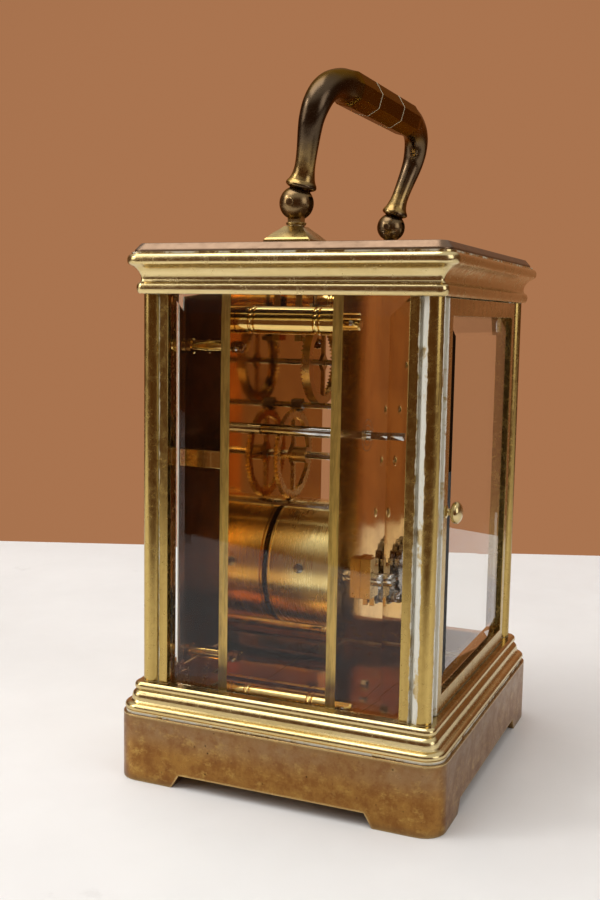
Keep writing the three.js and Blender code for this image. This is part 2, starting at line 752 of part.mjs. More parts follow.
const [R_BARREL, R_INTER_PINION] = pitch(BARREL, INTER, N_BARREL, N_INTER_PINION);
const [R_INTER, R_CENTRE_PINION] = pitch(INTER, CENTRE, N_INTER, N_CENTRE_PINION);
const [R_CENTRE, R_THIRD_PINION] = pitch(CENTRE, THIRD, N_CENTRE, N_THIRD_PINION);
const [R_THIRD, R_CONTRATE_PINION] = pitch(THIRD, CONTRATE, N_THIRD, N_CONTRATE_PINION);

// spring barrel: drum with the great wheel at its back, a cover in front, and the arbor for winding
const DRUM_Y0 = FRONT_Y1 + 0.65, GREAT_Y0 = 2.0, DRUM_Y1 = 4.0;
{
  const phase = 0;
  let s = solid(
    alongY(shapeOf(moved(teeth(N_BARREL, R_BARREL, phase), BARREL)), GREAT_Y0, DRUM_Y1),
  );
  s = s.add(solid(turnedY(rod(BARREL_R, DRUM_Y0, GREAT_Y0 + 0.5), 36, BARREL[0], BARREL[1])));
  s = s.subtract(solid(turnedY(rod(BARREL_R - 1.2, DRUM_Y0 - 1, GREAT_Y0 - 0.2), 24, BARREL[0], BARREL[1])));
  s = s.subtract(solid(turnedY(rod(2.1, GREAT_Y0 - 1, DRUM_Y1 + 1), 12, BARREL[0], BARREL[1])));
  add(movement, "barrel_drum", s, BRASS());
  add(
    movement,
    "barrel_cover",
    alongY(
      shapeOf(circle(BARREL_R - 1.45, 24, BARREL[0], BARREL[1]), [bore(2.05, 12, BARREL[0], BARREL[1])]),
      DRUM_Y0 + 0.05, DRUM_Y0 + 1.3,
    ),
    BRASS(),
  );
  // mainspring: a flat spiral between the arbor and the drum wall
  const turns = 2.5, steps = 34, r0 = 4.4, r1 = BARREL_R - 2.1, t = 0.5;
  const outer = [], inner = [];
  for (let i = 0; i <= steps; i++) {
    const a = (2 * Math.PI * turns * i) / steps, r = r0 + ((r1 - r0) * i) / steps;
    outer.push([BARREL[0] + (r + t / 2) * Math.cos(a), BARREL[1] + (r + t / 2) * Math.sin(a)]);
    inner.push([BARREL[0] + (r - t / 2) * Math.cos(a), BARREL[1] + (r - t / 2) * Math.sin(a)]);
  }
  add(
    movement,
    "mainspring",
    alongY(shapeOf([...outer, ...inner.reverse()]), DRUM_Y0 + 2.0, GREAT_Y0 - 0.9),
    STEEL(),
  );
  // arbor: pivots in both plates, a swelling inside the drum, and a square for the key behind the ratchet
  let a = solid(
    turnedY(
      [
        [0, FRONT_Y0 + 0.2], [1.5, FRONT_Y0 + 0.2], [1.5, FRONT_Y1 + 0.2], [1.95, FRONT_Y1 + 0.2],
        [1.95, DRUM_Y0 + 1.6], [3.2, DRUM_Y0 + 1.6], [3.2, GREAT_Y0 - 0.5], [1.95, GREAT_Y0 - 0.5],
        [1.95, BACK_Y1 + 2.4], [0, BACK_Y1 + 2.4],
      ],
      12, BARREL[0], BARREL[1],
    ),
  );
  a = a.add(
    solid(
      box(BARREL[0] - 1.3, BARREL[0] + 1.3, BACK_Y1 + 2, BACK_Y1 + 8.6, BARREL[1] - 1.3, BARREL[1] + 1.3),
    ),
  );
  add(movement, "barrel_arbor", a, STEEL());
}
// ratchet, click and click spring behind the back plate
const RATCHET_R = 9.4, RATCHET_N = 24, CLICK_AT = [BARREL[0] + 12.6, BARREL[1] - 4.4];
{
  const pts = [];
  for (let i = 0; i < RATCHET_N; i++) {
    const a = rad((360 * i) / RATCHET_N);
    pts.push([RATCHET_R * Math.cos(a), RATCHET_R * Math.sin(a)]);
    pts.push([(RATCHET_R - 1.1) * Math.cos(a + 0.03), (RATCHET_R - 1.1) * Math.sin(a + 0.03)]);
  }
  add(
    movement,
    "ratchet_wheel",
    alongY(shapeOf(moved(pts, BARREL), [bore(1.97, 12, BARREL[0], BARREL[1])]), BACK_Y1 + 0.25, BACK_Y1 + 1.75),
    STEEL(),
  );
  const [cx, cz] = CLICK_AT;
  let c = solid(
    alongY(
      shapeOf([
        [cx - 1.6, cz - 1.8], [cx + 1.9, cz - 1.9], [cx + 2.2, cz + 1.2], [cx + 0.6, cz + 4.4],
        [cx - 2.6, cz + 4.9], [cx - 1.3, cz + 2.6],
      ]),
      BACK_Y1 + 0.25, BACK_Y1 + 1.7,
    ),
  );
  c = c.add(solid(turnedY(rod(1.7, BACK_Y1 + 1.2, BACK_Y1 + 2.8), 14, cx, cz)));
  add(movement, "click", c, STEEL());
  let b = solid(box(8.6, 15.0, BACK_Y1 + 0.02, BACK_Y1 + 2.8, 46.0, 56.6));
  b = b.subtract(solid(box(8, 11.2, BACK_Y1 + 1.4, BACK_Y1 + 4, 54.2, 57)));
  b = b.add(solid(box(7.4, 8.2, BACK_Y1 + 0.3, BACK_Y1 + 1.6, 42.6, 50.6)));
  b = b.add(solid(box(7.4, 9.4, BACK_Y1 + 0.3, BACK_Y1 + 1.6, 49.2, 50.6)));
  add(movement, "click_spring", b, BRASS());
}
// intermediate arbor and wheel
const A_R = 1.15;
const INTER_WHEEL_Y = [5.2, 6.3];
const interPinionPhase = meshPhase(BARREL, INTER, N_BARREL, 0, N_INTER_PINION);
{
  let s = solid(turnedY(arborProfile(A_R), 10, INTER[0], INTER[1]));
  s = s.add(pinion(N_INTER_PINION, R_INTER_PINION, interPinionPhase, INTER, 1.4, 4.6));
  add(movement, "intermediate_arbor", s, STEEL());
  add(
    movement,
    "intermediate_wheel",
    wheel(N_INTER, R_INTER, 0, INTER, INTER_WHEEL_Y[0], INTER_WHEEL_Y[1], A_R, 1.9, 2.8, 4, 1.1),
    BRASS(),
  );
}
// centre arbor and wheel; the arbor runs on through the front plate to carry the hands
const C_R = 1.0;
{
  const ph = meshPhase(INTER, CENTRE, N_INTER, 0, N_CENTRE_PINION);
  let s = solid(
    turnedY(
      [
        [0, -34.9], [0.8, -34.9], [0.8, -22.2], [1.1, -22.0], [1.1, FRONT_Y1 + 0.25], [C_R, FRONT_Y1 + 0.25],
        [C_R, BACK_Y0 - 0.25], [PIVOT_R, BACK_Y0 - 0.25], [PIVOT_R, BACK_Y1 - 0.2], [0, BACK_Y1 - 0.2],
      ],
      10, CENTRE[0], CENTRE[1],
    ),
  );
  s = s.add(pinion(N_CENTRE_PINION, R_CENTRE_PINION, ph, CENTRE, 4.7, 6.9));
  add(movement, "centre_arbor", s, STEEL());
  let w = wheel(N_CENTRE, R_CENTRE, 0, CENTRE, -15.3, -14.2, C_R, 1.9, 3.0, 4, 1.1);
  w = w.add(collar(2.2, C_R, CENTRE, -14.5, -10.4));
  add(movement, "centre_wheel", w, BRASS());
}
// third arbor and wheel
const T_R = 0.8;
const THIRD_WHEEL_Y = [3.4, 4.4];
{
  const ph = meshPhase(CENTRE, THIRD, N_CENTRE, 0, N_THIRD_PINION);
  let s = solid(turnedY(arborProfile(T_R), 10, THIRD[0], THIRD[1]));
  s = s.add(pinion(N_THIRD_PINION, R_THIRD_PINION, ph, THIRD, -16.3, -12.9));
  add(movement, "third_arbor", s, STEEL());
  add(
    movement,
    "third_wheel",
    wheel(N_THIRD, R_THIRD, 0, THIRD, THIRD_WHEEL_Y[0], THIRD_WHEEL_Y[1], T_R, 1.7, 2.4, 4, 1.0),
    BRASS(),
  );
}
// contrate arbor and crown wheel: its teeth point to the front plate
const K_R = 0.8;
const CROWN_IN = CONTRATE_R - 0.65, CROWN_OUT = CONTRATE_R + 0.65;
{
  const ph = meshPhase(THIRD, CONTRATE, N_THIRD, 0, N_CONTRATE_PINION);
  let s = solid(turnedY(arborProfile(K_R), 10, CONTRATE[0], CONTRATE[1]));
  s = s.add(pinion(N_CONTRATE_PINION, R_CONTRATE_PINION, ph, CONTRATE, 2.8, 5.0));
  add(movement, "contrate_arbor", s, STEEL());
  const p = (2 * Math.PI * CONTRATE_R) / N_CONTRATE; // circular pitch
  const tip = CONTRATE_PITCH_Y - 0.25 * p, root = CONTRATE_PITCH_Y + 0.46 * p;
  // crown ring with pointed teeth, built as rings of inner/outer rim points
  const back = -8.2;
  const nn = N_CONTRATE * 2;
  const ringAt = (r, y) =>
    Array.from({ length: nn }, (_, i) => {
      const a = Math.PI / 2 + (Math.PI * i) / N_CONTRATE;
      const yy = y === null ? (i % 2 ? root : tip) : y;
      return [CONTRATE[0] + r * Math.cos(a), yy, CONTRATE[1] + r * Math.sin(a)];
    });
  let w = solid(
    skin([ringAt(CROWN_OUT, null), ringAt(CROWN_OUT, back), ringAt(CROWN_IN, back), ringAt(CROWN_IN, null)], true),
  );
  w = w.add(
    solid(
      alongY(
        shapeOf(
          circle(CONTRATE_R, 30, CONTRATE[0], CONTRATE[1]),
          [bore(K_R, 10), ...crossings(4, 2.3, CONTRATE_R - 1.5, 1.0)].map((h) => moved(h, CONTRATE)),
        ),
        -9.2, -8.2,
      ),
    ),
  );
  add(movement, "contrate_wheel", w, BRASS());
}
// setting arbor: a square behind the back plate turns the hands through its front pinion
const S_R = 1.45;
const motionAngle = angleTo(CENTRE, STUD);
const R_CANNON = (MOTION_D * N_CANNON) / (N_CANNON + N_MINUTE);
const R_MINUTE = (MOTION_D * N_MINUTE) / (N_CANNON + N_MINUTE);
const R_MINUTE_PINION = (MOTION_D * N_MINUTE_PINION) / (N_MINUTE_PINION + N_HOUR);
const R_HOUR = (MOTION_D * N_HOUR) / (N_MINUTE_PINION + N_HOUR);
const minutePhase = meshPhase(CENTRE, STUD, N_CANNON, 0, N_MINUTE);
{
  let s = solid(
    turnedY(
      [
        [0, -25.4], [1.25, -25.4], [1.25, FRONT_Y1 + 0.2], [S_R, FRONT_Y1 + 0.2], [S_R, BACK_Y0 - 0.2],
        [1.25, BACK_Y0 - 0.2], [1.25, BACK_Y1 + 1.2], [0, BACK_Y1 + 1.2],
      ],
      12, SETTING[0], SETTING[1],
    ),
  );
  s = s.add(
    solid(
      box(SETTING[0] - 0.95, SETTING[0] + 0.95, BACK_Y1 + 0.6, BACK_Y1 + 7.2, SETTING[1] - 0.95, SETTING[1] + 0.95),
    ),
  );
  const ph = meshPhase(STUD, SETTING, N_MINUTE, minutePhase, N_CANNON);
  s = s.add(pinion(N_CANNON, R_CANNON, ph, SETTING, -25.2, -22.4));
  add(movement, "setting_arbor", s, STEEL());
}
// motion work between the front plate and the dial
{
  let c = solid(
    alongY(
      shapeOf(moved(teeth(N_CANNON, R_CANNON, 0), CENTRE), [bore(0.82, 10, CENTRE[0], CENTRE[1])]),
      -25.2, -22.4,
    ),
  );
  c = c.add(collar(1.3, 0.82, CENTRE, -34.3, -25.0));
  add(movement, "cannon_pinion", c, STEEL());
  let m = solid(
    alongY(
      shapeOf(moved(teeth(N_MINUTE, R_MINUTE, minutePhase), STUD), [bore(STUD_R + 0.02, 10, STUD[0], STUD[1])]),
      -24.6, -23.4,
    ),
  );
  m = m.add(
    solid(
      alongY(
        shapeOf(moved(teeth(N_MINUTE_PINION, R_MINUTE_PINION, 0), STUD), [bore(STUD_R + 0.02, 10, STUD[0], STUD[1])]),
        -28.8, -24.4,
      ),
    ),
  );
  add(movement, "minute_wheel", m, BRASS());
  const hp = meshPhase(STUD, CENTRE, N_MINUTE_PINION, 0, N_HOUR);
  let h = solid(
    alongY(
      shapeOf(moved(teeth(N_HOUR, R_HOUR, hp), CENTRE), [bore(1.4, 12, CENTRE[0], CENTRE[1])]),
      -28.2, -27.0,
    ),
  );
  h = h.add(
    solid(
      alongY(
        shapeOf(circle(2.1, 14, CENTRE[0], CENTRE[1]), [bore(1.4, 12, CENTRE[0], CENTRE[1])]),
        -33.8, -27.5,
      ),
    ),
  );
  add(movement, "hour_wheel", h, BRASS());
}
// hands, set at about ten past ten
function hand(len, tail, boreR, y0, y1, angle) {
  const w = len > 20 ? 0.55 : 0.7;
  const out = [
    [w, boreR + 0.6], [w * 0.9, len * 0.55], [w * 2.3, len * 0.66], [w * 2.6, len * 0.74], [w * 0.9, len * 0.84],
    [0, len], [-w * 0.9, len * 0.84], [-w * 2.6, len * 0.74], [-w * 2.3, len * 0.66], [-w * 0.9, len * 0.55], [-w, boreR + 0.6],
  ];
  const hub = [];
  for (let i = 0; i <= 10; i++) {
    const a = rad(118 + (304 * i) / 10);
    hub.push([(boreR + 1.3) * Math.cos(a), (boreR + 1.3) * Math.sin(a)]);
  }
  const pts = [...out, ...hub];
  const c = Math.cos(angle), s = Math.sin(angle);
  const turn = ([x, y]) => [CENTRE[0] + x * c - y * s, CENTRE[1] + x * s + y * c];
  return solid(
    alongY(shapeOf(pts.map(turn), [bore(boreR, 12, CENTRE[0], CENTRE[1])]), y0, y1),
  );
}
// seen from the front, +X is on the viewer's right
add(movement, "hour_hand", hand(15.5, 0, 2.12, -33.75, -33.45, rad(55)), BLUED());
add(movement, "minute_hand", hand(23.5, 0, 1.32, -34.25, -33.95, rad(-54)), BLUED());

// ---------------------------------------------------------------- platform escapement
const E_AT = [CONTRATE[0], CONTRATE_PITCH_Y - (CONTRATE_R * N_ESCAPE_PINION) / N_CONTRATE];
const R_ESCAPE_PINION = (CONTRATE_R * N_ESCAPE_PINION) / N_CONTRATE;
const LEAF_Z = [CONTRATE[1] + CROWN_IN - 0.4, CONTRATE[1] + CROWN_OUT + 0.5];
{
  let p = solid(
    alongZ(
      shapeOf(roundedRect(19, 15.2, 1.5, 3).map(([x, y]) => [x, y - 5.3]), [
        bore(0.75, 10, E_AT[0], E_AT[1]),
        bore(0.55, 8, BALANCE_AT[0], BALANCE_AT[1]),
        bore(0.5, 8, LEVER_AT[0], LEVER_AT[1]),
      ]),
      PLATFORM_Z0, PLATFORM_Z1,
    ),
  );
  // potence that carries the lower pivot of the escape arbor
  p = p.add(solid(box(E_AT[0] - 2.2, E_AT[0] + 2.2, -16.6, -14.6, 112, PLATFORM_Z0 + 0.5)));
  p = p.add(solid(box(E_AT[0] - 1.6, E_AT[0] + 1.6, -15.2, -10.9, 112, 113.2)));
  p = p.subtract(solid(turnedZ(rod(0.5, 111, 114), 8, E_AT[0], E_AT[1])));
  add(movement, "platform", p, BRASS());

  let a = solid(
    turnedZ(
      [
        [0, 112.3], [0.4, 112.3], [0.4, 113.4], [0.55, 113.4], [0.55, 128.6], [0.3, 128.6], [0.3, 129.2], [0, 129.2],
      ],
      8, E_AT[0], E_AT[1],
    ),
  );
  // a gap of the pinion faces +Y, where a tooth of the crown wheel stands
  a = a.add(
    solid(
      alongZ(
        shapeOf(moved(teeth(N_ESCAPE_PINION, R_ESCAPE_PINION, Math.PI / 2 + Math.PI / N_ESCAPE_PINION), E_AT)),
        LEAF_Z[0], LEAF_Z[1],
      ),
    ),
  );
  add(movement, "escape_arbor", a, STEEL());
  const pts = [];
  for (let i = 0; i < 15; i++) {
    const t = rad(24 * i);
    pts.push([3.5 * Math.cos(t), 3.5 * Math.sin(t)]);
    pts.push([3.35 * Math.cos(t + 0.09), 3.35 * Math.sin(t + 0.09)]);
    pts.push([2.6 * Math.cos(t + 0.13), 2.6 * Math.sin(t + 0.13)]);
    pts.push([2.6 * Math.cos(t + 0.3), 2.6 * Math.sin(t + 0.3)]);
  }
  add(
    movement,
    "escape_wheel",
    alongZ(shapeOf(moved(pts, E_AT), [bore(0.57, 8, E_AT[0], E_AT[1])]), 127.0, 127.4),
    BRASS(),
  );
}
// pallet lever between the escape wheel and the balance
{
  const [lx, ly] = LEVER_AT;
  const dir = Math.atan2(E_AT[1] - ly, E_AT[0] - lx); // towards the escape wheel
  const c = Math.cos(dir), s = Math.sin(dir);
  const at = ([u, v]) => [lx + u * c - v * s, ly + u * s + v * c];
  // u runs to the escape wheel, v across; the fork points the other way
  const out = [
    [0.55, -0.7], [0.35, -2.9], [1.25, -3.6], [1.55, -4.3], [0.7, -4.5], [-0.35, -3.4], [-0.6, -0.8],
    [-1.6, -0.35], [-3.0, -0.35], [-3.5, -0.75], [-4.1, -0.75], [-4.1, -0.45], [-3.6, -0.3],
    [-3.6, 0.3], [-4.1, 0.45], [-4.1, 0.75], [-3.5, 0.75], [-3.0, 0.35], [-1.6, 0.35],
    [-0.6, 0.8], [-0.35, 3.4], [0.7, 4.5], [1.55, 4.3], [1.25, 3.6], [0.35, 2.9], [0.55, 0.7],
  ];
  let l = solid(alongZ(shapeOf(out.map(at)), 127.0, 127.45));
  l = l.add(solid(turnedZ(rod(0.42, PLATFORM_Z0 + 0.2, 128.6), 8, lx, ly)));
  add(movement, "pallet_lever", l, STEEL());
}
// balance wheel with its staff, hairspring and cock
{
  const [bx, by] = BALANCE_AT;
  const ring = shapeOf(circle(BALANCE_R, 24, bx, by), crossings(2, 1.2, BALANCE_R - 1.0, 1.1).map((h) => moved(h, [bx, by])));
  let b = solid(alongZ(ring, 129.2, 129.9));
  b = b.add(solid(turnedZ([[0, PLATFORM_Z0 + 0.2], [0.4, PLATFORM_Z0 + 0.2], [0.4, 128.2], [0.9, 128.2], [0.9, 128.5], [0.55, 128.5], [0.55, 131.0], [0.3, 131.0], [0.3, 131.5], [0, 131.5]], 8, bx, by)));
  add(movement, "balance_wheel", b, BRASS());
  const turns = 2.25, steps = 34, r0 = 1.2, r1 = 3.9, t = 0.22, a0 = rad(35) - 2 * Math.PI * turns;
  const outer = [], inner = [];
  for (let i = 0; i <= steps; i++) {
    const a = a0 + (2 * Math.PI * turns * i) / steps, r = r0 + ((r1 - r0) * i) / steps;
    outer.push([bx + (r + t / 2) * Math.cos(a), by + (r + t / 2) * Math.sin(a)]);
    inner.push([bx + (r - t / 2) * Math.cos(a), by + (r - t / 2) * Math.sin(a)]);
  }
  add(movement, "hairspring", alongZ(shapeOf([...outer, ...inner.reverse()]), 130.3, 130.7), BLUED());
  // cock: a foot beside the balance and an arm over its pivot
  let k = solid(box(10.2, 15.6, by - 2.6, by + 2.6, PLATFORM_Z1 + 0.02, 131.15));
  k = k.add(solid(alongZ(shapeOf([[15.6, by + 2.6], [10.4, by + 2.6], [bx + 1.2, by + 1.7], [bx - 1.5, by + 1.0], [bx - 2, by], [bx - 1.5, by - 1.0], [bx + 1.2, by - 1.7], [10.4, by - 2.6], [15.6, by - 2.6]].reverse()), 131.1, 132.1)));
  k = k.subtract(solid(turnedZ(rod(0.4, 130.9, 131.8), 8, bx, by)));
  add(movement, "balance_cock", k, BRASS());
}

export default clock;
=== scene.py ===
import json
import math

import bmesh
import bpy
import numpy as np
from mathutils import Matrix, Vector

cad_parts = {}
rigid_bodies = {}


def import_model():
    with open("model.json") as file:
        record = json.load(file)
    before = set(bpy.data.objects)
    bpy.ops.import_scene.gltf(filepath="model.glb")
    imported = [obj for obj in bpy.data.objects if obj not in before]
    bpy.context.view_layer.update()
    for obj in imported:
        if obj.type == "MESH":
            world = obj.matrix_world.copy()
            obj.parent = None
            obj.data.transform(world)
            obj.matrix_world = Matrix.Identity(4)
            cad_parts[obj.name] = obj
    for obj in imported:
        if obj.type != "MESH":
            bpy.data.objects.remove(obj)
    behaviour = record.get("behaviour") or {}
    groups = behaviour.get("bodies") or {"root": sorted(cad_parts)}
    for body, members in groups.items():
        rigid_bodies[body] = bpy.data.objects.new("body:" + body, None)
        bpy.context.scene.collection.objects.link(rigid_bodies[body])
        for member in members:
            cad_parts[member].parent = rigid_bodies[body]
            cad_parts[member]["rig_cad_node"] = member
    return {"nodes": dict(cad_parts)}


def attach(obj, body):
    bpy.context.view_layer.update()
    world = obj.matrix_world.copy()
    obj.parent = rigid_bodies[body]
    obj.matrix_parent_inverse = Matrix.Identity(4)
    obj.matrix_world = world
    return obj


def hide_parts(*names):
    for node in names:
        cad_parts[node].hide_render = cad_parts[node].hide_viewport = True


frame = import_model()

for o in [o for o in bpy.data.objects if o.type in {"CAMERA", "LIGHT"} or o.name == "Cube"]:
    if "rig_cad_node" not in o:
        bpy.data.objects.remove(o)
bpy.context.view_layer.update()
MM = 0.001
COLL = bpy.context.scene.collection
rad = math.radians


# ------------------------------------------------------------------ materials
class Mat:
    """A node material under construction: every pattern is in the object's own coordinates, in metres."""

    def __init__(self, name):
        self.m = bpy.data.materials.new(name)
        self.m.use_nodes = True
        self.nt = self.m.node_tree
        self.nt.nodes.clear()
        self.out = self.nt.nodes.new("ShaderNodeOutputMaterial")
        self.b = self.nt.nodes.new("ShaderNodeBsdfPrincipled")
        self.nt.links.new(self.b.outputs[0], self.out.inputs[0])
        self.tc = self.nt.nodes.new("ShaderNodeTexCoord").outputs["Object"]

    def set(self, socket, value):
        if hasattr(value, "links") or isinstance(value, bpy.types.NodeSocket):
            self.nt.links.new(value, socket)
        else:
            socket.default_value = value

    def scaled(self, sx, sy, sz, rot=(0, 0, 0)):
        n = self.nt.nodes.new("ShaderNodeMapping")
        n.inputs["Scale"].default_value = (sx, sy, sz)
        n.inputs["Rotation"].default_value = rot
        self.nt.links.new(self.tc, n.inputs[0])
        return n.outputs[0]

    def noise(self, scale, detail=6.0, rough=0.6, coords=None, distort=0.0):
        n = self.nt.nodes.new("ShaderNodeTexNoise")
        n.inputs["Scale"].default_value = scale
        n.inputs["Detail"].default_value = detail
        n.inputs["Roughness"].default_value = rough
        n.inputs["Distortion"].default_value = distort
        self.nt.links.new(coords or self.tc, n.inputs["Vector"])
        return n.outputs[0]

    def voronoi(self, scale, feature="F1"):
        n = self.nt.nodes.new("ShaderNodeTexVoronoi")
        n.feature = feature
        n.inputs["Scale"].default_value = scale
        self.nt.links.new(self.tc, n.inputs["Vector"])
        return n.outputs["Distance"]

    def ramp(self, value, lo, hi, a=0.0, b=1.0):
        n = self.nt.nodes.new("ShaderNodeMapRange")
        n.interpolation_type = "SMOOTHSTEP"
        n.inputs["From Min"].default_value = lo
        n.inputs["From Max"].default_value = hi
        n.inputs["To Min"].default_value = a
        n.inputs["To Max"].default_value = b
        self.nt.links.new(value, n.inputs["Value"])
        return n.outputs[0]

    def math(self, op, a, b=0.0, c=None):
        n = self.nt.nodes.new("ShaderNodeMath")
        n.operation = op
        self.set(n.inputs[0], a)
        self.set(n.inputs[1], b)
        if c is not None:
            self.set(n.inputs[2], c)
        return n.outputs[0]

    def mix(self, fac, a, b):
        n = self.nt.nodes.new("ShaderNodeMix")
        n.data_type = "RGBA"
        self.set(n.inputs[0], fac)
        for sock, v in ((n.inputs[6], a), (n.inputs[7], b)):
            self.set(sock, (*v, 1.0) if isinstance(v, tuple) and len(v) == 3 else v)
        return n.outputs[2]

    def xyz(self):
        n = self.nt.nodes.new("ShaderNodeSeparateXYZ")
        self.nt.links.new(self.tc, n.inputs[0])
        return n.outputs

    def cavity(self, dist=0.0015, samples=6, inside=False, local=False):
        n = self.nt.nodes.new("ShaderNodeAmbientOcclusion")
        n.samples = samples
        n.inside = inside
        n.only_local = local
        n.inputs["Distance"].default_value = dist
        return n.outputs["AO"]

    def bump(self, height, strength, distance=0.0002):
        n = self.nt.nodes.new("ShaderNodeBump")
        n.inputs["Strength"].default_value = strength
        n.inputs["Distance"].default_value = distance
        self.nt.links.new(height, n.inputs["Height"])
        self.nt.links.new(n.outputs[0], self.b.inputs["Normal"])

    def base(self, colour, metallic=None, rough=None):
        self.set(self.b.inputs["Base Color"], (*colour, 1.0) if isinstance(colour, tuple) else colour)
        if metallic is not None:
            self.set(self.b.inputs["Metallic"], metallic)
        if rough is not None:
            self.set(self.b.inputs["Roughness"], rough)


def brass_case(name, light, dark, stain, rough=(0.2, 0.42), residue=0.8, seed=0.0, cav=0.0012, grain=(0.05, 0.05, 1), quirks=False, mottled=0.45, seam=False):
    """Handled brass with a lengthwise draw grain, browner in places, with pale polish residue in the crevices, which
    are also darkened with painted shade.
    """
    m = Mat(name)
    c = m.scaled(1, 1, 1)
    n = c.node
    n.inputs["Location"].default_value = (seed, seed * 0.7, seed * 0.3)
    wide = m.noise(36, 3, 0.5, c)
    fine = m.noise(420, 6, 0.7, c)
    specks = m.noise(1700, 3, 0.6, c)
    draw = m.noise(620, 5, 0.7, m.scaled(*grain))
    col = m.mix(m.ramp(wide, 0.36, 0.68, 0, mottled), light, dark)
    col = m.mix(m.ramp(draw, 0.40, 0.66, 0, 0.5), col, dark)
    col = m.mix(m.math("MULTIPLY", m.ramp(fine, 0.58, 0.78), m.ramp(wide, 0.35, 0.7, 0.1, 0.45)), col, stain)
    col = m.mix(m.ramp(specks, 0.68, 0.78, 0, 0.45), col, stain)
    ao = m.cavity(cav, 6)
    crev = m.math("MULTIPLY", m.ramp(ao, 0.42, 0.16), m.ramp(fine, 0.3, 0.6, 0.4, 1.0))
    crev = m.math("MULTIPLY", crev, residue)
    # painted shade: a darkened stain colour is mixed in wherever the AO finds a crevice, standing in for the shade
    # that falls there
    shade = m.ramp(ao, 0.7, 0.3)
    col = m.mix(m.math("MULTIPLY", shade, 0.28), col, tuple(x * 0.4 for x in stain))
    if quirks:
        x, y, z = m.xyz()
        ax, ay = m.math("ABSOLUTE", x), m.math("ABSOLUTE", y)
        wob = m.ramp(m.noise(260, 5, 0.7, m.scaled(0.2, 0.2, 1)), 0.3, 0.7, -0.00018, 0.00018)
        ays, axs = m.math("ADD", ay, wob), m.math("ADD", ax, wob)
        one = m.math("MULTIPLY", m.ramp(ays, 0.03335, 0.03350), m.ramp(ays, 0.03570, 0.03550))
        one = m.math("MULTIPLY", one, m.ramp(ax, 0.0403, 0.0405))
        two = m.math("MULTIPLY", m.ramp(axs, 0.04060, 0.04040), m.ramp(axs, 0.03425, 0.03440))
        two = m.math("MULTIPLY", two, m.ramp(ay, 0.0368, 0.0370))
        handled = m.math("MULTIPLY", m.ramp(x, -0.0005, 0.0005), m.ramp(y, -0.0005, 0.0005))
        thin = m.math("MULTIPLY", m.ramp(ays, 0.03325, 0.03335), m.ramp(ays, 0.03385, 0.03372))
        thin = m.math("MULTIPLY", thin, m.ramp(ax, 0.0403, 0.0405))
        both = m.math("MAXIMUM", m.math("MULTIPLY", m.math("MAXIMUM", one, two), handled), m.math("MULTIPLY", thin, 0.7))
        worn = m.ramp(m.noise(95, 6, 0.75), 0.38, 0.46, 0.2, 1.0)
        crev = m.math("MAXIMUM", crev, m.math("MULTIPLY", both, worn))
    if seam:
        z = m.xyz()[2]
        low = m.math("MULTIPLY", m.ramp(z, 0.01795, 0.01778), m.ramp(m.noise(210, 6, 0.75), 0.42, 0.54, 0.1, 0.9))
        high = m.math("MULTIPLY", m.ramp(z, 0.13335, 0.13350), m.ramp(m.noise(170, 6, 0.75), 0.45, 0.58, 0.0, 0.7))
        crev = m.math("MAXIMUM", crev, m.math("MAXIMUM", low, high))
    col = m.mix(crev, col, (0.74, 0.74, 0.66))
    metal = m.math("SUBTRACT", 1.0, m.math("MULTIPLY", crev, 0.95))
    r = m.math("ADD", m.ramp(fine, 0.3, 0.75, rough[0], rough[1]), m.math("MULTIPLY", crev, 0.4))
    m.base(col, metal, r)
    m.bump(m.math("ADD", m.math("MULTIPLY", specks, 0.3), m.math("MULTIPLY", draw, 0.5)), 0.06, 0.0002)
    return m.m


def plinth_patina(name):
    """Old lacquered brass: orange-brown with golden rubbed specks, a grey-brown bloom above, dark flecks and pitting."""
    m = Mat(name)
    wide = m.noise(20, 4, 0.55)
    mid = m.noise(190, 8, 0.74)
    fine = m.noise(800, 6, 0.72)
    drag = m.noise(260, 8, 0.76, m.scaled(1.0, 1.0, 1.5))
    x, y, z = m.xyz()
    col = m.mix(m.ramp(mid, 0.36, 0.64), (0.235, 0.10, 0.028), (0.34, 0.172, 0.044))
    col = m.mix(m.math("MULTIPLY", m.ramp(drag, 0.50, 0.68, 0, 0.7), m.ramp(wide, 0.34, 0.62, 0.2, 1.0)), col, (0.56, 0.355, 0.10))
    bloom = m.math("MULTIPLY", m.ramp(z, 0.0075, 0.0150), m.ramp(wide, 0.34, 0.62, 0.2, 0.85))
    col = m.mix(m.math("MULTIPLY", bloom, m.ramp(mid, 0.36, 0.6, 0.35, 0.85)), col, (0.27, 0.172, 0.10))
    col = m.mix(m.ramp(fine, 0.58, 0.72, 0, 0.75), col, (0.16, 0.062, 0.018))
    seam = m.ramp(z, 0.0152, 0.0172)
    col = m.mix(m.math("MULTIPLY", seam, m.ramp(mid, 0.3, 0.6, 0.05, 0.6)), col, (0.22, 0.12, 0.045))
    edge = m.ramp(m.cavity(0.0009, 6, inside=True, local=True), 0.86, 0.6)
    col = m.mix(m.math("MULTIPLY", edge, 0.7), col, (0.74, 0.56, 0.25))
    low = m.ramp(z, 0.0022, 0.0002)
    col = m.mix(m.math("MULTIPLY", low, 0.55), col, (0.20, 0.13, 0.06))
    pit = m.ramp(m.voronoi(420), 0.16, 0.06)
    pit = m.math("MULTIPLY", pit, m.ramp(m.noise(130, 3, 0.6), 0.5, 0.62))
    col = m.mix(pit, col, (0.035, 0.018, 0.008))
    m.base(col, m.ramp(fine, 0.5, 0.8, 1.0, 0.8), m.math("SUBTRACT", m.ramp(mid, 0.35, 0.7, 0.38, 0.26), m.math("MULTIPLY", edge, 0.08)))
    m.bump(m.math("SUBTRACT", m.math("ADD", m.math("MULTIPLY", fine, 0.6), m.math("MULTIPLY", drag, 0.3)), pit), 0.14, 0.0002)
    return m.m


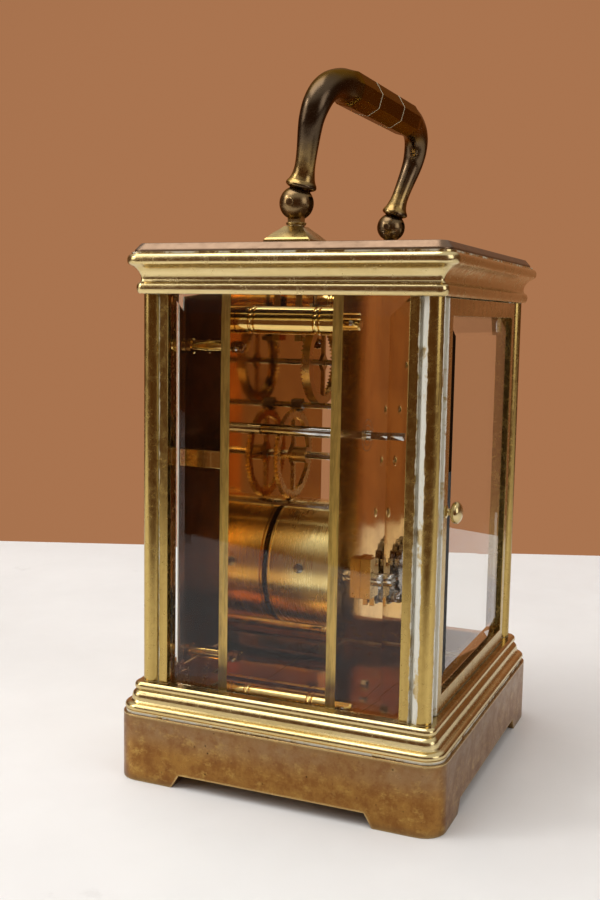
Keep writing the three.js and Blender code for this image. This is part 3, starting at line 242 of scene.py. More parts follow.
def bronze(name):
    """Dark brown patina, smooth from handling, with brass showing above the collars and on the grip's flats."""
    m = Mat(name)
    wide = m.noise(60, 4, 0.55)
    fine = m.noise(620, 6, 0.7)
    x, y, z = m.xyz()
    col = m.mix(m.ramp(wide, 0.36, 0.66), (0.085, 0.058, 0.036), (0.135, 0.09, 0.052))
    grip = m.ramp(m.math("ABSOLUTE", x), 0.0275, 0.0225)
    streak = m.noise(500, 5, 0.7, m.scaled(0.08, 1, 1))
    col = m.mix(m.math("MULTIPLY", grip, m.ramp(streak, 0.35, 0.65, 0.55, 1.0)), col, (0.175, 0.095, 0.022))
    col = m.mix(m.ramp(fine, 0.60, 0.78, 0, 0.5), col, (0.26, 0.155, 0.06))
    edge = m.ramp(m.cavity(0.0005, 6, inside=True, local=True), 0.8, 0.6)
    col = m.mix(m.math("MULTIPLY", edge, m.ramp(wide, 0.35, 0.6, 0.2, 0.6)), col, (0.40, 0.27, 0.11))
    low = m.math("MULTIPLY", m.math("MULTIPLY", m.ramp(z, 0.1605, 0.1520), m.ramp(z, 0.1490, 0.1500)), m.ramp(fine, 0.32, 0.6, 0.35, 0.85))
    col = m.mix(low, col, (0.42, 0.275, 0.095))
    ball = m.math("MULTIPLY", m.ramp(z, 0.1490, 0.1470), m.ramp(wide, 0.4, 0.62, 0.0, 0.55))
    col = m.mix(ball, col, (0.30, 0.195, 0.085))
    m.base(col, 0.98, m.ramp(fine, 0.3, 0.75, 0.22, 0.32))
    m.b.inputs["Specular Tint"].default_value = (0.62, 0.45, 0.27, 1.0)
    m.bump(m.math("ADD", m.math("MULTIPLY", fine, 0.4), m.math("MULTIPLY", wide, 0.4)), 0.06, 0.0002)
    return m.m


def movement_brass(name, light, dark, rough=(0.07, 0.16), grain=(1, 1, 1), gscale=900, strength=0.05, stain=0.5, gamount=0.6, edge_finish_and_painted_reflection=None):
    """Finished clockmaker's brass with a fine directional grain and a few tarnish spots; with an edge colour given,
    the plate edges get a rougher streaked satin finish and a colour painted darker to stand in for the dark
    surroundings they reflect.
    """
    m = Mat(name)
    wide = m.noise(55, 4, 0.6, None, 0.6)
    spots = m.noise(420, 5, 0.72)
    g = m.noise(gscale, 4, 0.7, m.scaled(*grain))
    col = m.mix(m.ramp(wide, 0.34, 0.7), light, dark)
    col = m.mix(m.ramp(spots, 0.60, 0.74, 0, stain), col, tuple(x * 0.33 for x in dark))
    col = m.mix(m.ramp(g, 0.4, 0.75, 0, 0.22), col, tuple(x * 0.6 for x in light))
    r = m.math("ADD", m.ramp(wide, 0.3, 0.72, rough[0], rough[1]), m.ramp(g, 0.35, 0.8, 0, 0.10 * gamount))
    # plate edges: a rougher, streaked satin finish, plus a painted reflection: the colour is made darker to stand in
    # for the dark surroundings the edges reflect
    if edge_finish_and_painted_reflection:
        geo = m.nt.nodes.new("ShaderNodeNewGeometry")
        vt = m.nt.nodes.new("ShaderNodeVectorTransform")
        vt.vector_type, vt.convert_from, vt.convert_to = "NORMAL", "WORLD", "OBJECT"
        m.nt.links.new(geo.outputs["True Normal"], vt.inputs[0])
        sep_ = m.nt.nodes.new("ShaderNodeSeparateXYZ")
        m.nt.links.new(vt.outputs[0], sep_.inputs[0])
        side = m.ramp(m.math("ABSOLUTE", sep_.outputs[1]), 0.6, 0.35)
        streak = m.noise(700, 4, 0.7, m.scaled(1, 1, 0.12))
        col = m.mix(side, col, m.mix(m.ramp(streak, 0.35, 0.7), edge_finish_and_painted_reflection, tuple(x * 0.55 for x in edge_finish_and_painted_reflection)))
        r = m.math("ADD", r, m.math("MULTIPLY", side, 0.28))
    m.base(col, 1.0, r)
    m.bump(g, strength, 0.00002)
    return m.m


def steel(name, light=(0.66, 0.65, 0.63), dark=(0.40, 0.39, 0.38), rough=(0.08, 0.2), rust=0.25):
    m = Mat(name)
    wide = m.noise(160, 5, 0.62)
    fine = m.noise(1400, 4, 0.7, m.scaled(1, 1, 1))
    col = m.mix(m.ramp(wide, 0.35, 0.7), light, dark)
    col = m.mix(m.ramp(fine, 0.6, 0.78, 0, rust), col, (0.16, 0.09, 0.05))
    m.base(col, 1.0, m.ramp(fine, 0.3, 0.75, rough[0], rough[1]))
    m.bump(fine, 0.05, 0.0001)
    return m.m


def glass(name):
    m = Mat(name)
    smear = m.noise(28, 5, 0.6, m.scaled(1, 1, 2.4), 1.6)
    dust = m.noise(2600, 2, 0.5)
    m.base((0.985, 0.99, 0.985), 0.0, m.math("ADD", m.ramp(smear, 0.5, 0.8, 0.0, 0.03), m.ramp(dust, 0.66, 0.8, 0.0, 0.05)))
    m.b.inputs["IOR"].default_value = 1.3
    m.b.inputs["Transmission Weight"].default_value = 1.0
    return m.m


def enamel(name):
    m = Mat(name)
    wide = m.noise(30, 4, 0.55)
    fine = m.noise(900, 3, 0.5)
    col = m.mix(m.ramp(wide, 0.35, 0.7), (0.86, 0.845, 0.79), (0.80, 0.775, 0.70))
    col = m.mix(m.ramp(fine, 0.68, 0.8, 0, 0.35), col, (0.45, 0.40, 0.33))
    behind = m.ramp(m.xyz()[1], -0.03262, -0.03255)
    mottle = m.noise(130, 6, 0.7)
    col = m.mix(behind, col, m.mix(m.ramp(mottle, 0.35, 0.7), (0.26, 0.12, 0.045), (0.10, 0.045, 0.02)))
    m.base(col, behind, m.math("ADD", m.ramp(wide, 0.3, 0.7, 0.07, 0.14), m.math("MULTIPLY", behind, 0.12)))
    m.bump(fine, 0.01, 0.00005)
    return m.m


def residue(name):
    """Dried polish in an incised line."""
    m = Mat(name)
    n = m.noise(900, 5, 0.7)
    m.base(m.mix(m.ramp(n, 0.35, 0.7), (0.70, 0.66, 0.48), (0.50, 0.44, 0.27)), 0.1, m.ramp(n, 0.3, 0.7, 0.45, 0.65))
    m.bump(n, 0.1, 0.0001)
    return m.m


def black_enamel(name):
    m = Mat(name)
    n = m.noise(700, 4, 0.6)
    m.base(m.mix(m.ramp(n, 0.35, 0.75), (0.012, 0.012, 0.014), (0.035, 0.032, 0.03)), 0.0, m.ramp(n, 0.3, 0.7, 0.16, 0.3))
    m.bump(n, 0.08, 0.0001)
    return m.m


def blued(name):
    m = Mat(name)
    n = m.noise(300, 5, 0.6)
    f = m.noise(1800, 3, 0.6)
    col = m.mix(m.ramp(n, 0.35, 0.7), (0.016, 0.030, 0.16), (0.045, 0.035, 0.20))
    m.base(col, 1.0, m.ramp(f, 0.3, 0.7, 0.14, 0.28))
    m.bump(f, 0.05, 0.0001)
    return m.m


M_CASE = brass_case("case_brass", (0.69, 0.56, 0.29), (0.53, 0.39, 0.15), (0.27, 0.17, 0.06), rough=(0.17, 0.30), mottled=0.5, seam=True)
M_POST = brass_case("post_brass", (0.54, 0.385, 0.125), (0.38, 0.25, 0.07), (0.17, 0.10, 0.03), rough=(0.17, 0.32), residue=1.0, seed=0.31, grain=(1, 1, 0.04), quirks=True)
M_TOP = brass_case("top_plate_brass", (0.22, 0.145, 0.095), (0.16, 0.10, 0.062), (0.09, 0.05, 0.026), rough=(0.32, 0.46), residue=0.4, seed=0.57)
M_FOOT = brass_case("foot_brass", (0.56, 0.41, 0.16), (0.42, 0.28, 0.09), (0.22, 0.13, 0.04), rough=(0.24, 0.36), seed=0.83, mottled=0.6)
M_PLINTH = plinth_patina("plinth_patina")
M_SEAT = movement_brass("seat_brass", (0.60, 0.36, 0.11), (0.40, 0.21, 0.06), rough=(0.05, 0.11), grain=(1, 0.08, 1), strength=0.02, stain=0.6)
M_BRONZE = bronze("bail_bronze")
# the plate's edge colour is partly a satin finish and partly a painted dark reflection
M_PLATE = movement_brass("plate_brass", (0.84, 0.50, 0.13), (0.66, 0.35, 0.08), rough=(0.04, 0.10), grain=(1, 1, 0.06), strength=0.02, edge_finish_and_painted_reflection=(0.66, 0.44, 0.11))
M_EDGE = movement_brass("pillar_brass", (0.88, 0.64, 0.24), (0.76, 0.50, 0.15), rough=(0.06, 0.14), grain=(1, 0.08, 1), strength=0.02, stain=0.3)
M_DRUM = movement_brass("drum_brass", (0.96, 0.76, 0.34), (0.88, 0.65, 0.24), rough=(0.22, 0.30), grain=(0.3, 9, 0.3), gscale=420, strength=0.14, stain=0.25)
M_WHEEL = movement_brass("wheel_brass", (0.76, 0.50, 0.16), (0.54, 0.33, 0.10), rough=(0.2, 0.32), grain=(1, 1, 1), strength=0.05)
M_STEEL = steel("polished_steel")
M_DARKSTEEL = steel("worn_steel", (0.45, 0.43, 0.40), (0.23, 0.21, 0.19), (0.16, 0.32), 0.6)
M_GLASS = glass("bevelled_glass")
M_ENAMEL = enamel("dial_enamel")
M_BLACK = black_enamel("fired_black")
M_LINE = residue("polish_residue")
M_BLUED = blued("blued_steel")


# ------------------------------------------------------------------ mesh helpers (millimetres in, metres out)
def obj_of(name, verts, faces, mat, body, replaces=(), slot=None, smooth=32.0, bevel=None):
    me = bpy.data.meshes.new(name)
    me.from_pydata([tuple(c * MM for c in v) for v in verts], [], faces)
    bm = bmesh.new()
    bm.from_mesh(me)
    bmesh.ops.remove_doubles(bm, verts=bm.verts, dist=1e-7)
    bmesh.ops.recalc_face_normals(bm, faces=bm.faces)
    bm.to_mesh(me)
    bm.free()
    me.materials.append(mat)
    ob = bpy.data.objects.new(name, me)
    COLL.objects.link(ob)
    if bevel:
        bv = ob.modifiers.new("edge", "BEVEL")
        bv.width = bevel * MM
        bv.segments = 2
        bv.limit_method = "ANGLE"
        bv.angle_limit = rad(28)
        bv.harden_normals = False
    me.shade_smooth()
    me.set_sharp_from_angle(angle=rad(smooth))
    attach(ob, body)
    if replaces:
        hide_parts(*replaces)
    return ob


class Shell:
    """Collects several closed pieces into one mesh."""

    def __init__(self):
        self.v, self.f = [], []

    def add(self, verts, faces):
        k = len(self.v)
        self.v += [tuple(p) for p in verts]
        self.f += [tuple(i + k for i in f) for f in faces]
        return self

    def rings(self, rings, closed=False, caps=True):
        n = len(rings[0])
        verts = [p for r in rings for p in r]
        faces = []
        last = len(rings) if closed else len(rings) - 1
        for i in range(last):
            for j in range(n):
                a, b = i * n + j, i * n + (j + 1) % n
                c, d = ((i + 1) % len(rings)) * n + j, ((i + 1) % len(rings)) * n + (j + 1) % n
                faces.append((a, b, d, c))
        if not closed and caps:
            faces.append(tuple(reversed(range(n))))
            faces.append(tuple((len(rings) - 1) * n + j for j in range(n)))
        return self.add(verts, faces)

    def lathe(self, profile, axis, at, seg=48):
        """profile: (radius, station) pairs along the axis, which passes through at."""
        rings = []
        for r, s in profile:
            ring = []
            for k in range(seg):
                a = 2 * math.pi * k / seg
                u, w = max(r, 1e-3) * math.cos(a), max(r, 1e-3) * math.sin(a)
                if axis == "Y":
                    ring.append((at[0] + u, s, at[1] + w))
                elif axis == "Z":
                    ring.append((at[0] + u, at[1] + w, s))
                else:
                    ring.append((s, at[0] + u, at[1] + w))
            rings.append(ring)
        return self.rings(rings)

    def prism(self, outline, a, b, axis="Z"):
        """outline: a simple loop; axis Z keeps it as X, Y; Y makes it X, Z; X makes it Y, Z."""
        place = {"Z": lambda p, s: (p[0], p[1], s), "Y": lambda p, s: (p[0], s, p[1]), "X": lambda p, s: (s, p[0], p[1])}[axis]
        return self.rings([[place(p, a) for p in outline], [place(p, b) for p in outline]])

    def box(self, x0, x1, y0, y1, z0, z1):
        return self.prism([(x0, y0), (x1, y0), (x1, y1), (x0, y1)], z0, z1)

    def plate_ring(self, outer, inner, a, b, axis="Z"):
        """A flat ring between two loops with the same number of points."""
        place = {"Z": lambda p, s: (p[0], p[1], s), "Y": lambda p, s: (p[0], s, p[1]), "X": lambda p, s: (s, p[0], p[1])}[axis]
        loops = [[place(p, a) for p in outer], [place(p, b) for p in outer], [place(p, b) for p in inner], [place(p, a) for p in inner]]
        return self.rings(loops, closed=True)

    def make(self, name, mat, body, **kw):
        return obj_of(name, self.v, self.f, mat, body, **kw)


def circle(r, n, cx=0.0, cy=0.0, a0=0.0):
    return [(cx + r * math.cos(a0 + 2 * math.pi * i / n), cy + r * math.sin(a0 + 2 * math.pi * i / n)) for i in range(n)]


def rounded_rect(hx, hy, r, n):
    out = []
    for sx, sy, a0 in ((1, 1, 0), (-1, 1, 90), (-1, -1, 180), (1, -1, 270)):
        for i in range(n + 1):
            a = rad(a0 + 90 * i / n)
            out.append((sx * (hx - r) + r * math.cos(a), sy * (hy - r) + r * math.sin(a)))
    return out


def spline(points, sharp, steps=5):
    """Catmull-Rom between the listed sharp points, so a moulding's curves are smooth and its fillets crisp."""
    out = []
    for i in range(len(points) - 1):
        p1, p2 = points[i], points[i + 1]
        p0 = points[i - 1] if i > 0 and i not in sharp else p1
        p3 = points[i + 2] if i + 2 < len(points) and (i + 1) not in sharp else p2
        straight = i in sharp and (i + 1) in sharp
        for k in range(1 if straight else steps):
            t = k / steps
            out.append(tuple(
                0.5 * (2 * b + (c - a) * t + (2 * a - 5 * b + 4 * c - d) * t * t + (3 * b - a - 3 * c + d) * t ** 3)
                for a, b, c, d in zip(p0, p1, p2, p3)))
    out.append(tuple(points[-1]))
    return out


def shadeless_shadow(ob):
    ob.visible_shadow = False


# CAD nodes that stay: their own mesh, with modifiers that weld, ease the edges and smooth the round faces
def smooth_group(limit):
    g = bpy.data.node_groups.new(f"smooth_under_{limit}", "GeometryNodeTree")
    g.interface.new_socket("Geometry", in_out="INPUT", socket_type="NodeSocketGeometry")
    g.interface.new_socket("Geometry", in_out="OUTPUT", socket_type="NodeSocketGeometry")
    i, o = g.nodes.new("NodeGroupInput"), g.nodes.new("NodeGroupOutput")
    drop = g.nodes.new("GeometryNodeRemoveAttribute")
    drop.inputs["Name"].default_value = "custom_normal"
    ang = g.nodes.new("GeometryNodeInputMeshEdgeAngle")
    cmp_ = g.nodes.new("FunctionNodeCompare")
    cmp_.data_type, cmp_.operation = "FLOAT", "LESS_EQUAL"
    cmp_.inputs[1].default_value = rad(limit)
    s1, s2 = g.nodes.new("GeometryNodeSetShadeSmooth"), g.nodes.new("GeometryNodeSetShadeSmooth")
    s1.domain, s2.domain = "EDGE", "FACE"
    g.links.new(i.outputs[0], drop.inputs[0])
    g.links.new(drop.outputs[0], s1.inputs["Geometry"])
    g.links.new(ang.outputs[0], cmp_.inputs[0])
    g.links.new(cmp_.outputs[0], s1.inputs["Shade Smooth"])
    g.links.new(s1.outputs[0], s2.inputs["Geometry"])
    s2.inputs["Shade Smooth"].default_value = True
    g.links.new(s2.outputs[0], o.inputs[0])
    return g


SMOOTH = {k: smooth_group(k) for k in (10, 34)}


def keep(names, mat, bevel=None, segments=2, flat=False, weighted=False):
    for n in names:
        ob = frame["nodes"][n]
        for s in range(max(1, len(ob.material_slots))):
            if ob.material_slots:
                ob.material_slots[s].link = "OBJECT"
                ob.material_slots[s].material = mat
        w = ob.modifiers.new("weld", "WELD")
        w.merge_threshold = 2e-6
        if bevel:
            bv = ob.modifiers.new("edge", "BEVEL")
            bv.width, bv.segments = bevel * MM, segments
            bv.limit_method, bv.angle_limit = "ANGLE", rad(34)
        sm = ob.modifiers.new("smooth", "NODES")
        sm.node_group = SMOOTH[10 if flat else 34]
        if weighted:
            wn = ob.modifiers.new("weigh", "WEIGHTED_NORMAL")
            wn.keep_sharp = True
            wn.weight = 90


# ------------------------------------------------------------------ case: mouldings, posts, small brass
HALF_X, HALF_Y, PLINTH_R = 47.3, 43.2, 5.7
BASE_TOP, CORNICE_Z0, CORNICE_Z1, TOP_Z = 24.9, 123.8, 133.8, 136.0
FRONT_Y0, FRONT_Y1, BACK_Y0, BACK_Y1 = -21.4, -18.9, 8.6, 11.2
PIVOT_X, PIVOT_Z = 35.3, 145.45
BARREL, INTER, CENTRE, THIRD = (-8.6, 49.0), (3.8, 67.3), (0.0, 80.8), (-2.2, 94.4)
CONTRATE, SETTING = (-6.0, 106.2), (11.9, 88.6)


def moulding(name, outer, inner, mat, node, slot):
    s = Shell()
    s.rings([
        [(x, y, z) for x, y in rounded_rect(HALF_X + o, HALF_Y + o, max(1.0, PLINTH_R + o), 14)]
        for o, z in outer + inner
    ], closed=True)
    return s.make(name, mat, "case", replaces=(node,), slot=slot, smooth=24)


moulding(
    "base_moulding_run",
    spline([
        (-0.7, 17.37), (-0.7, 18.05), (-0.42, 18.55), (-0.52, 19.25), (-1.05, 19.75), (-1.9, 19.95), (-2.2, 20.35),
        (-2.2, 21.2), (-2.45, 22.0), (-3.0, 22.6), (-3.45, 22.9), (-3.02, 23.3), (-2.9, 23.9), (-3.1, 24.5), (-3.6, BASE_TOP),
    ], {0, 1, 5, 6, 7, 10, 14}),
    [(-8.2, BASE_TOP), (-8.2, 17.37)],
    M_CASE, "base_moulding", "cast_brass",
)
moulding(
    "cornice_run",
    spline([
        (-3.9, CORNICE_Z0), (-3.5, 124.3), (-3.3, 125.2), (-3.5, 126.1), (-4.15, 126.6), (-4.45, 127.2), (-4.4, 127.9), (-4.15, 128.6),
        (-3.6, 129.4), (-2.85, 130.1), (-1.9, 130.6), (-1.3, 130.95), (-1.05, 131.5), (-1.05, 132.4), (-1.45, 133.1), (-2.1, 133.4),
        (-2.1, CORNICE_Z1),
    ], {0, 4, 10, 15, 16}),
    [(-12.2, CORNICE_Z1), (-12.2, CORNICE_Z0)],
    M_CASE, "cornice", "cast_brass",
)


def post_outline(sx, sy):
    cx, cy = 42.6 - 2.5, 38.6 - 2.5
    arc = [(cx + 2.5 * math.cos(rad(a)), cy + 2.5 * math.sin(rad(a))) for a in np.linspace(-71, 161, 46)]
    if sy > 0:
        pts = [(35.5, 31.0), (42.2, 31.0), (42.2, 33.4), (40.9, 33.4), *arc, (35.5, 36.9)]
    else:
        pts = [(36.2, 31.0), (42.2, 31.0), (42.2, 33.4), (40.9, 33.4), *arc, (37.4, 36.9), (37.4, 38.2), (35.1, 38.2), (35.1, 35.4), (36.2, 35.4)]
    return [(x * sx, y * sy) for x, y in pts]


for node, sx, sy in (("post_front_left", -1, -1), ("post_front_right", 1, -1), ("post_rear_left", -1, 1), ("post_rear_right", 1, 1)):
    Shell().prism(post_outline(sx, sy), BASE_TOP + 0.02, CORNICE_Z0 - 0.02).make(
        node + "_column", M_POST, "case", replaces=(node,), slot="case_brass", smooth=24, bevel=0.12)

keep(["plinth"], M_PLINTH, bevel=0.45, segments=3, weighted=True)
keep(["base_plate"], M_SEAT, bevel=0.2, flat=True)
keep(["top_plate"], M_TOP, bevel=0.35, segments=3, weighted=True)
keep(["door_frame"], M_POST, bevel=0.28, segments=2, weighted=True)
for n in ("glass_right", "glass_left", "glass_front", "door_glass", "top_glass"):
    keep([n], M_GLASS, flat=True)
    shadeless_shadow(frame["nodes"][n])

# door knob: a turned brass button on a short neck
knob = Shell().lathe(
    spline([(0.0, 38.12), (1.5, 38.12), (1.5, 38.5), (0.95, 38.85), (0.85, 39.2), (0.95, 39.6), (1.7, 39.85), (2.35, 40.15), (2.6, 40.75),
            (2.45, 41.4), (1.7, 42.0), (0.8, 42.22), (0.0, 42.25)], {0, 1, 2, 12}, 5),
    "Y", (33.1, 74.0), 40)
knob.make("door_knob_turned", M_CASE, "door", replaces=("door_knob",), slot="case_brass", smooth=40)
keep(["hinge_pin_bottom", "hinge_pin_top", "handle_pin_right", "handle_pin_left"], M_STEEL)


# ------------------------------------------------------------------ handle
def cut(shell, cutters):
    """The shell with other shells cut away, as plain vertices and faces in millimetres."""
    me = bpy.data.meshes.new("cut_a")
    me.from_pydata(shell.v, [], shell.f)
    a = bpy.data.objects.new("cut_a", me)
    COLL.objects.link(a)
    made = [a]
    for i, c in enumerate(cutters):
        mc = bpy.data.meshes.new(f"cut_b{i}")
        mc.from_pydata(c.v, [], c.f)
        for mesh in (me, mc):
            bm = bmesh.new()
            bm.from_mesh(mesh)
            bmesh.ops.remove_doubles(bm, verts=bm.verts, dist=1e-4)
            bmesh.ops.recalc_face_normals(bm, faces=bm.faces)
            bm.to_mesh(mesh)
            bm.free()
        ob = bpy.data.objects.new(f"cut_b{i}", mc)
        COLL.objects.link(ob)
        made.append(ob)
        bo = a.modifiers.new("cut", "BOOLEAN")
        bo.operation, bo.solver, bo.object = "DIFFERENCE", "EXACT", ob
    dg = bpy.context.evaluated_depsgraph_get()
    got = bpy.data.meshes.new_from_object(a.evaluated_get(dg))
    verts = [tuple(v.co) for v in got.vertices]
    faces = [tuple(p.vertices) for p in got.polygons]
    for ob in made:
        bpy.data.objects.remove(ob)
    bpy.data.meshes.remove(got)
    return Shell().add(verts, faces)


TILT = rad(15)


def on_bail(x, t, n):
    return (x, t * math.sin(TILT) + n * math.cos(TILT), PIVOT_Z + t * math.cos(TILT) - n * math.sin(TILT))


HALF_BAIL = [
    (35.3, 3.2, 2.3), (35.3, 3.75, 3.4), (35.3, 4.2, 3.72), (35.3, 4.75, 3.62), (35.35, 5.6, 3.1), (35.5, 6.9, 2.7), (35.9, 8.7, 2.45),
    (36.6, 11.2, 2.45), (37.5, 14.0, 2.6), (38.4, 16.8, 2.8), (38.9, 19.5, 3.0), (38.4, 22.6, 3.25), (36.6, 25.6, 3.4), (33.6, 27.7, 3.5),
    (29.8, 28.9, 3.7), (26.0, 29.4, 4.1), (23.0, 29.5, 4.6), (0.0, 29.5, 4.6),
]
half = spline(HALF_BAIL, {0, 16, 17}, 7)
line = half[:-1] + [(x, t, r) for x, t, r in [(v, 29.5, 4.6) for v in np.linspace(22, -22, 23)]] + [(-x, t, r) for x, t, r in reversed(half[:-1])]
line = [p for i, p in enumerate(line) if i == 0 or math.dist(p[:2], line[i - 1][:2]) > 0.05]
NSEC = 64


def bail_ring(i, scale=1.0, offset=0.0):
    x, t, r = line[i]
    a, b = line[max(0, i - 1)], line[min(len(line) - 1, i + 1)]
    dx, dt = b[0] - a[0], b[1] - a[1]
    d = math.hypot(dx, dt)
    nx, nt = -dt / d, dx / d
    flat = 1 - min(1, max(0, (abs(x) - 23.4) / 4.2)) if t > 27.5 else 0.0
    flat = flat * flat * (3 - 2 * flat)
    ring = []
    for k in range(NSEC):
        an = 2 * math.pi * k / NSEC
        loc = (an + math.pi / 8) % (math.pi / 4) - math.pi / 8
        octo = min(0.925 / math.cos(loc), 0.998)
        q = (r * (1 - flat + flat * octo) + offset) * scale
        ring.append(on_bail(x + q * math.cos(an) * nx, t + q * math.cos(an) * nt, q * math.sin(an)))
    return ring


bail = Shell().rings([bail_ring(i) for i in range(len(line))])
for sx in (1, -1):
    x0 = sx * PIVOT_X
    prof = [(math.sin(math.pi * k / 26) * 4.1, x0 - 4.1 * math.cos(math.pi * k / 26)) for k in range(27)]
    ball = Shell().lathe(prof, "X", (0.0, PIVOT_Z), 56)
    slot = Shell().lathe([(0, x0 - 1.45), (3.6, x0 - 1.45), (3.6, x0 + 1.45), (0, x0 + 1.45)], "X", (0.0, PIVOT_Z), 40)
    sector = [(0.0, PIVOT_Z)] + [(7 * math.cos(rad(d)), PIVOT_Z + 7 * math.sin(rad(d))) for d in range(-230, 21, 25)]
    mouth = Shell().prism(sector, x0 - 1.45, x0 + 1.45, "X")
    hole = Shell().lathe([(0, x0 - 8), (1.0, x0 - 8), (1.0, x0 + 8), (0, x0 + 8)], "X", (0.0, PIVOT_Z), 20)
    got = cut(ball, [slot, mouth, hole])
    bail.add(got.v, got.f)
bail.make("bail_handle", M_BRONZE, "bail", replaces=("handle",), slot="patinated_bronze", smooth=26)

# bright incised lines round the octagonal grip
for j, xc in enumerate((9.0, -9.0)):
    i = min(range(len(line)), key=lambda k: abs(line[k][0] - xc) + (5 if line[k][1] < 27 else 0))
    x, t, r = line[i]
    a, b = line[i - 1], line[i + 1]
    d = math.hypot(b[0] - a[0], b[1] - a[1])
    ux, ut = (b[0] - a[0]) / d, (b[1] - a[1]) / d
    prof = [(-0.2, -0.25), (-0.2, 0.03), (-0.1, 0.06), (0.1, 0.06), (0.2, 0.03), (0.2, -0.25)]
    rings = []
    for w, off in prof:
        base = bail_ring(i, 1.0, off)
        rings.append([(p[0] + w * ux, p[1] + w * ut * math.sin(TILT), p[2] + w * ut * math.cos(TILT)) for p in base])
    Shell().rings(rings, closed=True).make(f"grip_line_{j + 1}", M_LINE, "bail", slot="case_brass", smooth=30)

# riveted ends of the two pivot pins
heads = Shell()
for x0 in (PIVOT_X, -PIVOT_X):
    for s in (1, -1):
        heads.lathe([(0, x0 + s * 3.2), (0.93, x0 + s * 3.2), (0.95, x0 + s * 4.2), (0.78, x0 + s * 4.36), (0, x0 + s * 4.42)][::s], "X", (0.0, PIVOT_Z), 36)
heads.make("pivot_pin_ends", M_BRONZE, "case", slot="patinated_bronze", smooth=30)

for side, sx in (("right", 1), ("left", -1)):
    x0 = sx * PIVOT_X
    foot = Shell()
    prof = spline([(5.9, TOP_Z + 0.02), (5.9, TOP_Z + 0.65), (5.6, TOP_Z + 0.95), (5.15, TOP_Z + 1.4), (4.2, TOP_Z + 2.3), (3.2, TOP_Z + 3.1),
                   (2.2, TOP_Z + 4.0)], {0, 1, 2, 6}, 5)

    def square(h, z):
        e = 0.12 if h > 5 else 0.06
        pts = []
        for cx, cy in ((1, 1), (-1, 1), (-1, -1), (1, -1)):
            first, second = ((x0 + cx * h, cy * (h - e)), (x0 + cx * (h - e), cy * h))
            pts += [first, second] if cx * cy > 0 else [second, first]
        return [(x, y, z) for x, y in pts]

    foot.rings([square(h, z) for h, z in prof])
    foot.lathe(spline([(0, TOP_Z + 3.4), (2.0, TOP_Z + 3.4), (2.0, TOP_Z + 4.2), (2.3, TOP_Z + 4.35), (2.42, TOP_Z + 4.65), (2.3, TOP_Z + 4.92),
                       (0, TOP_Z + 5.0)], {0, 1, 2, 6}, 4), "Z", (x0, 0.0), 40)
    foot.lathe([(0, x0 - 1.25), (2.9, x0 - 1.25), (3.1, x0 - 1.1), (3.1, x0 + 1.1), (2.9, x0 + 1.25), (0, x0 + 1.25)], "X", (0.0, PIVOT_Z), 44)
    foot.box(x0 - 1.24, x0 + 1.24, -1.7, 1.7, TOP_Z + 4.5, PIVOT_Z)
    foot.make("handle_foot_" + side, M_FOOT, "case", replaces=("handle_post_" + side,), slot="case_brass", smooth=30)


# ------------------------------------------------------------------ movement
def rod_between(shell, p, q, r0, r1, seg=20):
    p, q = Vector(p), Vector(q)
    d = (q - p).normalized()
    u = d.orthogonal().normalized()
    w = d.cross(u)
    rings = []
    n = (q - p).length
    for s, r in ((0.0, r0 * 0.55), (0.12, r0), (n - 0.12, r1), (n, r1 * 0.55)):
        c = p + d * s
        rings.append([tuple(c + (u * math.cos(2 * math.pi * k / seg) + w * math.sin(2 * math.pi * k / seg)) * r) for k in range(seg)])
    return shell.rings(rings)


def screw(shell, at, normal, r, h, turn=0.4, seg=32):
    """A slotted cheese-head screw: a low disc with two raised halves either side of the slot."""
    at, nrm = Vector(at), Vector(normal).normalized()
    u = nrm.orthogonal().normalized()
    w = nrm.cross(u)
    u, w = u * math.cos(turn) + w * math.sin(turn), w * math.cos(turn) - u * math.sin(turn)

    def ring(pts, z):
        return [tuple(at + u * x + w * y + nrm * z) for x, y in pts]

    full = circle(r, seg)
    shell.rings([ring(full, 0), ring(full, h * 0.45)])
    g = r * 0.16
    a0 = math.asin(g / r)
    arc = [(r * math.cos(a), r * math.sin(a)) for a in np.linspace(a0, math.pi - a0, seg // 2)]
    low = [(x * 0.88, g + (y - g) * 0.88) for x, y in arc]
    for sgn in (1, -1):
        loop = [(x, y * sgn) for x, y in arc][::sgn]
        top = [(x, y * sgn) for x, y in low][::sgn]
        shell.rings([ring(loop, h * 0.44), ring(loop, h * 0.86), ring(top, h)])
    return shell


keep(["front_plate", "back_plate"], M_PLATE, bevel=0.16, flat=True)
keep(["dial_bracket"], M_EDGE, bevel=0.15, flat=True)
keep(["minute_stud"], M_STEEL)
keep(["platform"], M_PLATE, bevel=0.12, flat=True)
keep(["balance_cock", "click_spring"], M_WHEEL, bevel=0.12, flat=True)
keep(["intermediate_wheel", "centre_wheel", "third_wheel", "contrate_wheel", "minute_wheel", "hour_wheel", "escape_wheel"], M_WHEEL)
keep(["balance_wheel"], M_WHEEL, bevel=0.08)
keep(["intermediate_arbor", "centre_arbor", "third_arbor", "contrate_arbor", "cannon_pinion", "escape_arbor", "pallet_lever"], M_STEEL)
keep(["setting_arbor", "barrel_arbor"], M_STEEL, bevel=0.1)
keep(["ratchet_wheel", "click"], M_DARKSTEEL, bevel=0.08, flat=True)
keep(["mainspring", "hairspring"], M_BLUED)
keep(["hour_hand", "minute_hand"], M_BLUED, bevel=0.07, flat=True)
keep(["dial"], M_ENAMEL, bevel=0.3, segments=2, flat=True)
keep(["barrel_cover"], M_DRUM, bevel=0.12)

